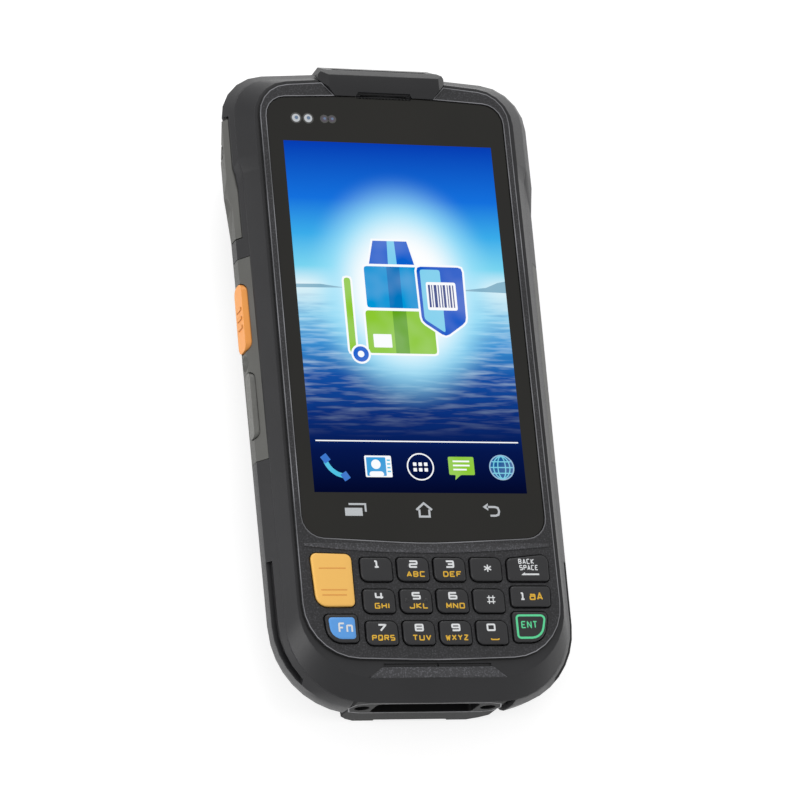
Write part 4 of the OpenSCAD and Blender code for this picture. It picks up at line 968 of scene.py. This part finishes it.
# %% Strokes of the signs
COLUMN = {"l": 0.0, "i": 0.25, "c": 0.5, "j": 0.75, "r": 1.0}
SIGNS = {
    "0": ["l0 r0 r4 l4 l0"], "1": ["l4 c4 c0", "l0 r0"], "2": ["l4 r4 r2 l2 l0 r0"],
    "3": ["l4 r4 r0 l0", "i2 r2"], "4": ["l4 l1 r1", "j4 j0"], "5": ["r4 l4 l2 r2 r0 l0"],
    "6": ["r4 l4 l0 r0 r2 l2"], "7": ["l4 r4 i0"], "8": ["l0 r0 r4 l4 l0", "l2 r2"],
    "9": ["r2 l2 l4 r4 r0 l0"], "A": ["l0 c4 r0", "i1 j1"],
    "B": ["l0 l4 j4 r3 j2 r1 j0 l0", "l2 j2"], "C": ["r4 l4 l0 r0"],
    "D": ["l0 l4 j4 r3 r1 j0 l0"], "E": ["r4 l4 l0 r0", "l2 j2"], "F": ["r4 l4 l0", "l2 j2"],
    "G": ["r4 l4 l0 r0 r2 c2"], "H": ["l4 l0", "r4 r0", "l2 r2"], "I": ["c4 c0"],
    "J": ["r4 r0 l0 l1"], "K": ["l4 l0", "r4 l2 r0"], "L": ["l4 l0 r0"],
    "M": ["l0 l4 c1 r4 r0"], "N": ["l0 l4 r0 r4"], "O": ["l0 r0 r4 l4 l0"],
    "P": ["l0 l4 r4 r2 l2"], "Q": ["l0 r0 r4 l4 l0", "c1 r0"], "R": ["l0 l4 r4 r2 l2", "c2 r0"],
    "S": ["r4 l4 l2 r2 r0 l0"], "T": ["l4 r4", "c4 c0"], "U": ["l4 l0 r0 r4"],
    "V": ["l4 c0 r4"], "W": ["l4 i0 c3 j0 r4"], "X": ["l4 r0", "l0 r4"],
    "Y": ["l4 c2 r4", "c2 c0"], "Z": ["l4 r4 l0 r0"], "a": ["l3 r3 r0 l0 l2 r2"],
    "n": ["l0 l3 r3 r0"], "*": ["c4 c0", "l3 r1", "l1 r3"],
    "#": ["i4 i0", "j4 j0", "l3 r3", "l1 r1"], "_": ["l1 l0 r0 r1"],
}


def write(drawing, text, middle, height, width, weight, ink, gap=None):
    """Writes signs in a row round a middle; width is that of one sign."""
    gap = weight * 1.6 if gap is None else gap
    widths = [weight * 1.1 if sign == "I" else width * (0.62 if sign == "1" else 1)
              for sign in text]
    left = middle[0] - (sum(widths) + gap * (len(text) - 1)) / 2 + weight / 2
    low = middle[1] - (height - weight) / 2
    for sign, wide in zip(text, widths):
        for number, stroke in enumerate(SIGNS[sign]):
            path = [Vector((left + COLUMN[column] * (wide - weight),
                            low + int(row) / 4 * (height - weight)))
                    for column, row in stroke.split()]
            closed = stroke.split()[0] == stroke.split()[-1]
            path = path[:-1] if closed else path
            drawing.band(softened(path, weight * 0.45, closed), weight, ink, number, closed)
        left += wide + gap


print("signs known:", len(SIGNS))

# %% [markdown]
# ## Legends
# Each number key carries a large white digit over small yellow letters, set a little to
# the right. The others carry words or marks in white, yellow or green.
# One function for each key would be seventeen functions. A legend is a list of words with
# a place and a size, so all of them fit in one table, and one loop prints them.
# The drawing asks the cap for its height at each point, so the ink follows the crown.

# %% Legends in a table
INK_WHITE = colour_of(236, 238, 240)
INK_YELLOW = colour_of(238, 186, 42)
INK_GREEN = colour_of(92, 224, 158)
LETTERS = {"key_2": "ABC", "key_3": "DEF", "key_4": "GHI", "key_5": "JKL", "key_6": "MNO",
           "key_7": "PQRS", "key_8": "TUV", "key_9": "WXYZ"}

# for each key its words: text, place from the middle, height, width, weight, ink and gap
LEGENDS = {"key_" + digit: [(digit, (0, 1.15), 1.8, 2.15, 0.42, INK_WHITE)]
           for digit in "1234567890"}
for key, word in LETTERS.items():
    shift, width = (0.1, 1.15) if len(word) == 4 else (0.45, 1.3)
    LEGENDS[key].append((word, (shift, -1.2), 1.35, width, 0.28, INK_YELLOW, 0.3))
LEGENDS.update({
    "key_0": [("0", (-0.3, 1.15), 1.8, 2.15, 0.42, INK_WHITE),
              ("_", (0.45, -1.2), 1.35, 2.1, 0.28, INK_YELLOW)],
    "key_star": [("*", (0.3, 0.2), 2.0, 2.0, 0.3, INK_WHITE)],
    "key_hash": [("#", (0.4, 0.2), 2.2, 2.2, 0.24, INK_WHITE)],
    "key_mode": [("1", (-2.1, 0), 1.85, 1.9, 0.38, INK_WHITE),
                 ("aA", (1.2, 0), 1.85, 1.45, 0.32, INK_YELLOW, 0.35)],
    "key_backspace": [("BACK", (-0.4, 1.5), 1.25, 0.82, 0.22, INK_WHITE, 0.2),
                      ("SPACE", (0.1, 0), 1.25, 0.78, 0.22, INK_WHITE, 0.17)],
    "key_enter": [("ENT", (-0.45, 0.45), 1.7, 1.15, 0.28, INK_GREEN, 0.25)],
    "key_fn": [("Fn", (0.75, 0.1), 2.4, 1.6, 0.42, INK_WHITE, 0.25)],
})
print("legends:", len(LEGENDS))

# %% Blue field of the function key
FIELD_LIFT = 0.03
blue_moulding = moulded("blue_moulding", colour_of(96, 164, 236), 0.4, depth=0.008 * MM,
                        drift=0.04, highlight_gain=1.2)
cap = CAPS["key_fn"]
field = cap.within(0.8)
skirt = [(p.x, p.y, cap.height(p.x, p.y) - 0.02) for p in inset(field, -0.05)]
skinned("fn_field", [skirt] + cap.crown(field, FIELD_LIFT), blue_moulding, "key_fn",
        (*cap.middle, KEY_TOP + FIELD_LIFT))
print("field points:", len(field))

# %% Print the legends
INK_LIFT = 0.02
ARROW = [(-1.8, -1.65), (-1.0, -1.1), (-1.0, -1.4), (2.5, -1.4), (2.5, -1.8), (-1.8, -1.8)]


def blank_legend(key):
    """An empty drawing that follows the crown of a cap, and what is let into it."""
    cap, lift = CAPS[key], INK_LIFT + (FIELD_LIFT if key == "key_fn" else 0)
    return Drawing(lambda x, y: cap.height(x, y) + lift, cap.middle)


for key, words in LEGENDS.items():
    legend = blank_legend(key)
    if key == "key_enter":
        edge = [p - CAPS[key].middle for p in CAPS[key].within(0.95)]
        legend.band(edge, 0.5, INK_GREEN, closed=True)
    if key == "key_backspace":
        legend.shape(ARROW, INK_WHITE)
    for word in words:
        write(legend, *word)
    legend.lay("legend_" + key[4:], printed_ink, key, "key_blue" if key == "key_fn" else "key_grey")

# %% [markdown]
# ## Marks for the fingertip
# A thumb finds its place without looking by two pips on the middle key. The scan key has
# shallow grooves that stop a wet glove from slipping.
# Pips stand up enough to throw a shadow, so they are turned shapes. The grooves are so
# shallow that a darker stroke reads the same: painted shade in place of each hollow, and it
# can't tear the crown open.

# %% Pips on the middle key and grooves on the scan key
cap = CAPS["key_5"]
for side, shift in (("left", -2.35), ("right", 2.35)):
    x, y = cap.middle.x + shift, cap.middle.y + 0.15
    z = cap.height(x, y)
    lathed("pip_" + side, [(0.52, z - 0.03), (0.48, z + 0.09), (0.3, z + 0.17), (0, z + 0.2)],
           (x, y), key_moulding, "key_5", 20)

groove_shade = blank_legend("key_scan")
# darker orange strokes: painted shade where the grooves lie
for rise, half in ((-3.7, 2.9), (-2.5, 3.1), (2.6, 3.2)):
    groove_shade.band([(half * (k / 6 - 1), rise) for k in range(13)], 0.24, colour_of(236, 156, 66))
groove_shade.lay("scan_grooves", printed_ink, "key_scan", "orange")

# %% [markdown]
# ## Metal
# Sheet steel, plated contacts and screws show themselves by long fine scratches from
# rolling and by reflections that blur along them. We could leave metal plain and let the
# reflections do the work, but then it looks like grey plastic in a white room.
# The scratches are noise again, squeezed hard along one direction.

# %% Steel, zinc and gold
ROLLED, PLATED = (900, 8100, 8100), (3600, 3600, 3600)


def metal(name, colour, roughness, scale=PLATED):
    """Rolled or plated metal, with fine scratches."""
    made = Finish(name)
    grain = made.streaks(scale)
    stain = made.spread(made.noise(4 * MM, 3), 0.35, 0.7, 0, 0.35)
    base = made.mix(made.spread(grain, 0.3, 0.7, 0, 1), tinted(colour, 0.75), colour)
    made.set(Base_Color=made.mix(stain, base, tinted(colour, 0.6)), Metallic=1.0,
             Roughness=made.spread(grain, 0.3, 0.7, roughness - 0.07, roughness + 0.07))
    made.relief(grain, 0.004 * MM, 0.1 * MM)
    return made


dress(["shield_cans", "usb_port", "scan_bracket", "display_frame", "microphone",
       "vibration_motor"], metal("sheet_steel", colour_of(186, 188, 192), 0.32, ROLLED))
dress(["housing_screws"], metal("zinc_screws", colour_of(128, 128, 132), 0.38))
dress(["dock_contacts", "battery_terminals"], metal("gold_plate", colour_of(222, 178, 92), 0.24))

# %% [markdown]
# ## Circuit boards
# A board is glass fibre with copper tracks, under green lacquer. The tracks show through
# as a lighter green, and where they change sides there is a small plated hole.
# Real tracks could be drawn one by one, but they are only seen through gaps. A brick
# pattern gives tracks that run side by side, and a cell pattern gives the holes.

# %% Green lacquer
def board_finish():
    """Green lacquer over tracks, with plated holes."""
    made = Finish("board_lacquer")
    bricks = made.add("ShaderNodeTexBrick", Vector=made.place, Scale=500.0, Mortar_Size=0.07,
                      Brick_Width=2.3, Row_Height=0.55, Color1=colour_of(10, 74, 46),
                      Color2=colour_of(12, 82, 52), Mortar=colour_of(38, 128, 84))
    cells = made.add("ShaderNodeTexVoronoi", Vector=made.place, Scale=420.0)
    hole = made.spread(cells.outputs["Distance"], 0.16, 0.12, 0, 1)
    made.set(Base_Color=made.mix(hole, bricks.outputs["Color"], colour_of(196, 170, 96)),
             Roughness=made.spread(made.noise(2 * MM), 0.3, 0.7, 0.25, 0.4),
             Specular_IOR_Level=0.45)
    made.relief(bricks.outputs["Fac"], 0.01 * MM, 0.1 * MM)
    return made


dress(["main_board", "keypad_board", "left_switches", "right_switches"], board_finish())

# %% [markdown]
# ## Inner plastics and the battery
# What lies inside is seen through a door, a slot or a lens, but it is seen: the silicone
# mat is pale grey with a faint painted highlight at its rims, speaker cloth is woven, and a
# battery wears a tight film.
# The same recipe as for the case serves, with other grain. Cloth and film get a pattern
# of their own.

# %% Mat and modules
dress(["keypad_mat"],
      moulded("mat_silicone", colour_of(190, 192, 196), 0.45, depth=0.008 * MM, drift=0.04,
              highlight_gain=1.1))
dress(["scan_engine", "headset_jack", "rear_camera", "sensor_strip", "earpiece",
       "display_panel"],
      moulded("module_black", colour_of(24, 24, 26), 0.3, grain=0.12 * MM, depth=0.006 * MM))

# %% Cloth and film
def cloth_finish():
    """Black speaker cloth, woven from two sets of threads."""
    made = Finish("speaker_cloth")
    threads = []
    for direction in ("X", "Y"):
        wave = made.add("ShaderNodeTexWave", Vector=made.place, Scale=900.0, Distortion=0.4)
        wave.bands_direction = direction
        threads.append(wave.outputs["Fac"])
    weave = made.math("MULTIPLY", *threads)
    made.set(Base_Color=made.mix(weave, colour_of(12, 12, 13), colour_of(62, 62, 64)),
             Roughness=0.85)
    made.relief(weave, 0.05 * MM, 0.1 * MM)
    return made


def film_finish():
    """Pale battery film, drawn tight, with faint long wrinkles."""
    made = Finish("battery_film")
    wrinkle = made.streaks((400, 60, 60))
    tone = made.spread(made.noise(9 * MM), 0.3, 0.7, 0, 1)
    made.set(Base_Color=made.mix(tone, colour_of(196, 198, 200), colour_of(212, 213, 214)),
             Roughness=made.spread(wrinkle, 0.3, 0.7, 0.28, 0.42), Specular_IOR_Level=0.5)
    made.relief(wrinkle, 0.05 * MM, 0.8 * MM)
    return made


dress(["loudspeaker", "earpiece_mesh"], cloth_finish())
dress(["battery_pack"], film_finish())

# %% [markdown]
# ## Windows and lenses
# The scanner looks out through a deep red window, the camera through a black one, and the
# flash through a clear lens with rings. All three are smooth and hard, so they need a
# sharp reflection first of all.
# A coat over a coloured base gives that: the base keeps the colour, the coat mirrors.

# %% Red window, black window and flash
def window_finish(name, colour, roughness=0.05):
    """A dark pane whose coat mirrors the room."""
    made = Finish(name)
    depth = made.spread(made.noise(5 * MM), 0.3, 0.7, 0, 1)
    made.set(Base_Color=made.mix(depth, tinted(colour, 0.7), tinted(colour, 1.2)),
             Coat_Weight=0.6, Coat_Roughness=0.03,
             Roughness=made.spread(made.noise(1.5 * MM), 0.3, 0.7, roughness, roughness + 0.05),
             Normal=made.add("ShaderNodeBevel", Radius=0.2 * MM).outputs[0])
    return made


def flash_finish():
    """Milky lens with moulded rings round its middle."""
    made = Finish("flash_lens")
    low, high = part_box("flash_lens")
    around = made.add("ShaderNodeVectorMath", Vector=made.place)
    around.operation = "SUBTRACT"
    around.inputs[1].default_value = (low + high) / 2
    waves = made.add("ShaderNodeTexWave", Vector=around.outputs[0], Scale=700.0)
    waves.wave_type = "RINGS"
    waves.rings_direction = "Z"
    rings = waves.outputs["Fac"]
    made.set(Base_Color=made.mix(rings, colour_of(226, 218, 180), colour_of(244, 240, 222)),
             Roughness=made.spread(rings, 0, 1, 0.12, 0.25))
    made.relief(rings, 0.1 * MM, 0.15 * MM)
    return made


dress(["scan_window"], window_finish("scan_red", colour_of(96, 8, 16)))
dress(["camera_window"], window_finish("camera_black", colour_of(14, 14, 18)))
dress(["flash_lens"], flash_finish())

# %% [markdown]
# ## Camera lens
# In the middle of the black window sits the lens: a small glass dome in a ring of dark
# metal. The dome mirrors the room with a violet cast from its coating.
# Both are turned shapes, so a profile and the lathe helper are all they need.

# %% Lens and ring
CAMERA_LOW, CAMERA_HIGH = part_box("camera_window")
CAMERA = (CAMERA_LOW + CAMERA_HIGH).xy / 2 / MM
FRONT = CAMERA_LOW.z / MM
DOME = [math.radians(a) for a in range(0, 90, 15)]
lens_profile = [(1.75 * math.cos(a), FRONT + 0.15 - 0.12 * math.sin(a)) for a in DOME]
lathed("camera_lens", lens_profile + [(0, FRONT + 0.03)], CAMERA,
       window_finish("lens_coating", colour_of(28, 22, 58), 0.02), "terminal")
ring_profile = [(2.9, FRONT + 0.05), (2.8, FRONT - 0.12), (2.4, FRONT - 0.12), (2.0, FRONT + 0.06)]
lathed("camera_ring", ring_profile, CAMERA, metal("ring_metal", colour_of(90, 90, 96), 0.25),
       "terminal", 48)
print("camera at mm:", [round(v, 2) for v in CAMERA])

# %% [markdown]
# ## Seams that catch the eye
# Round the raised face runs a black groove, where the face meets the ledge below it. In
# the solid it is a plain step. A thin soft strip in that corner reads as the groove.
# The rim of the face beside it catches a line of light. A second strip, thinner still and
# on the rim itself, paints that highlight in a lighter grey. The same painted highlight
# runs round the field in the tail where the plug of a cradle lands.

# %% Groove, rim and plug field
FIELD_HALF_W, FIELD_HALF_H, FIELD_CORNER = 18.4, 4.1, 3.9
FIELD_Z = GLASS_TOP / MM - 11.5

groove = Drawing(LEDGE_TOP / MM + 0.02)
groove.band(inset(face_outline, -0.2), 0.36, NO_INK, closed=True)
groove.lay("face_groove", seal_rubber, "terminal", "rubber")

# a lighter grey strip: painted highlight along the rim of the face and round the plug field
highlight_plastic = moulded("highlight_plastic", colour_of(128, 128, 132), 0.35, grain=0.6 * MM,
                         drift=0.5, highlight_gain=1.0)
rim = Drawing(PANEL_TOP / MM + 0.01)
rim.band(inset(face_outline, 0.14), 0.2, NO_INK, closed=True)
rim.lay("face_rim", highlight_plastic, "terminal", "shell")

plug = Drawing(-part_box("dock_nose")[0].y / MM + 0.01, (0, FIELD_Z))
plug.band(box_path(-FIELD_HALF_W, -FIELD_HALF_H, FIELD_HALF_W, FIELD_HALF_H, FIELD_CORNER), 0.3,
          NO_INK, closed=True)
plug.lay("plug_field", highlight_plastic, "terminal", "black_shell", upright=True)

print("solids without a finish:",
      [n for n in solids if "soft_shading" not in solids[n].modifiers and n not in CAPS])

# %% [markdown]
# ## The end
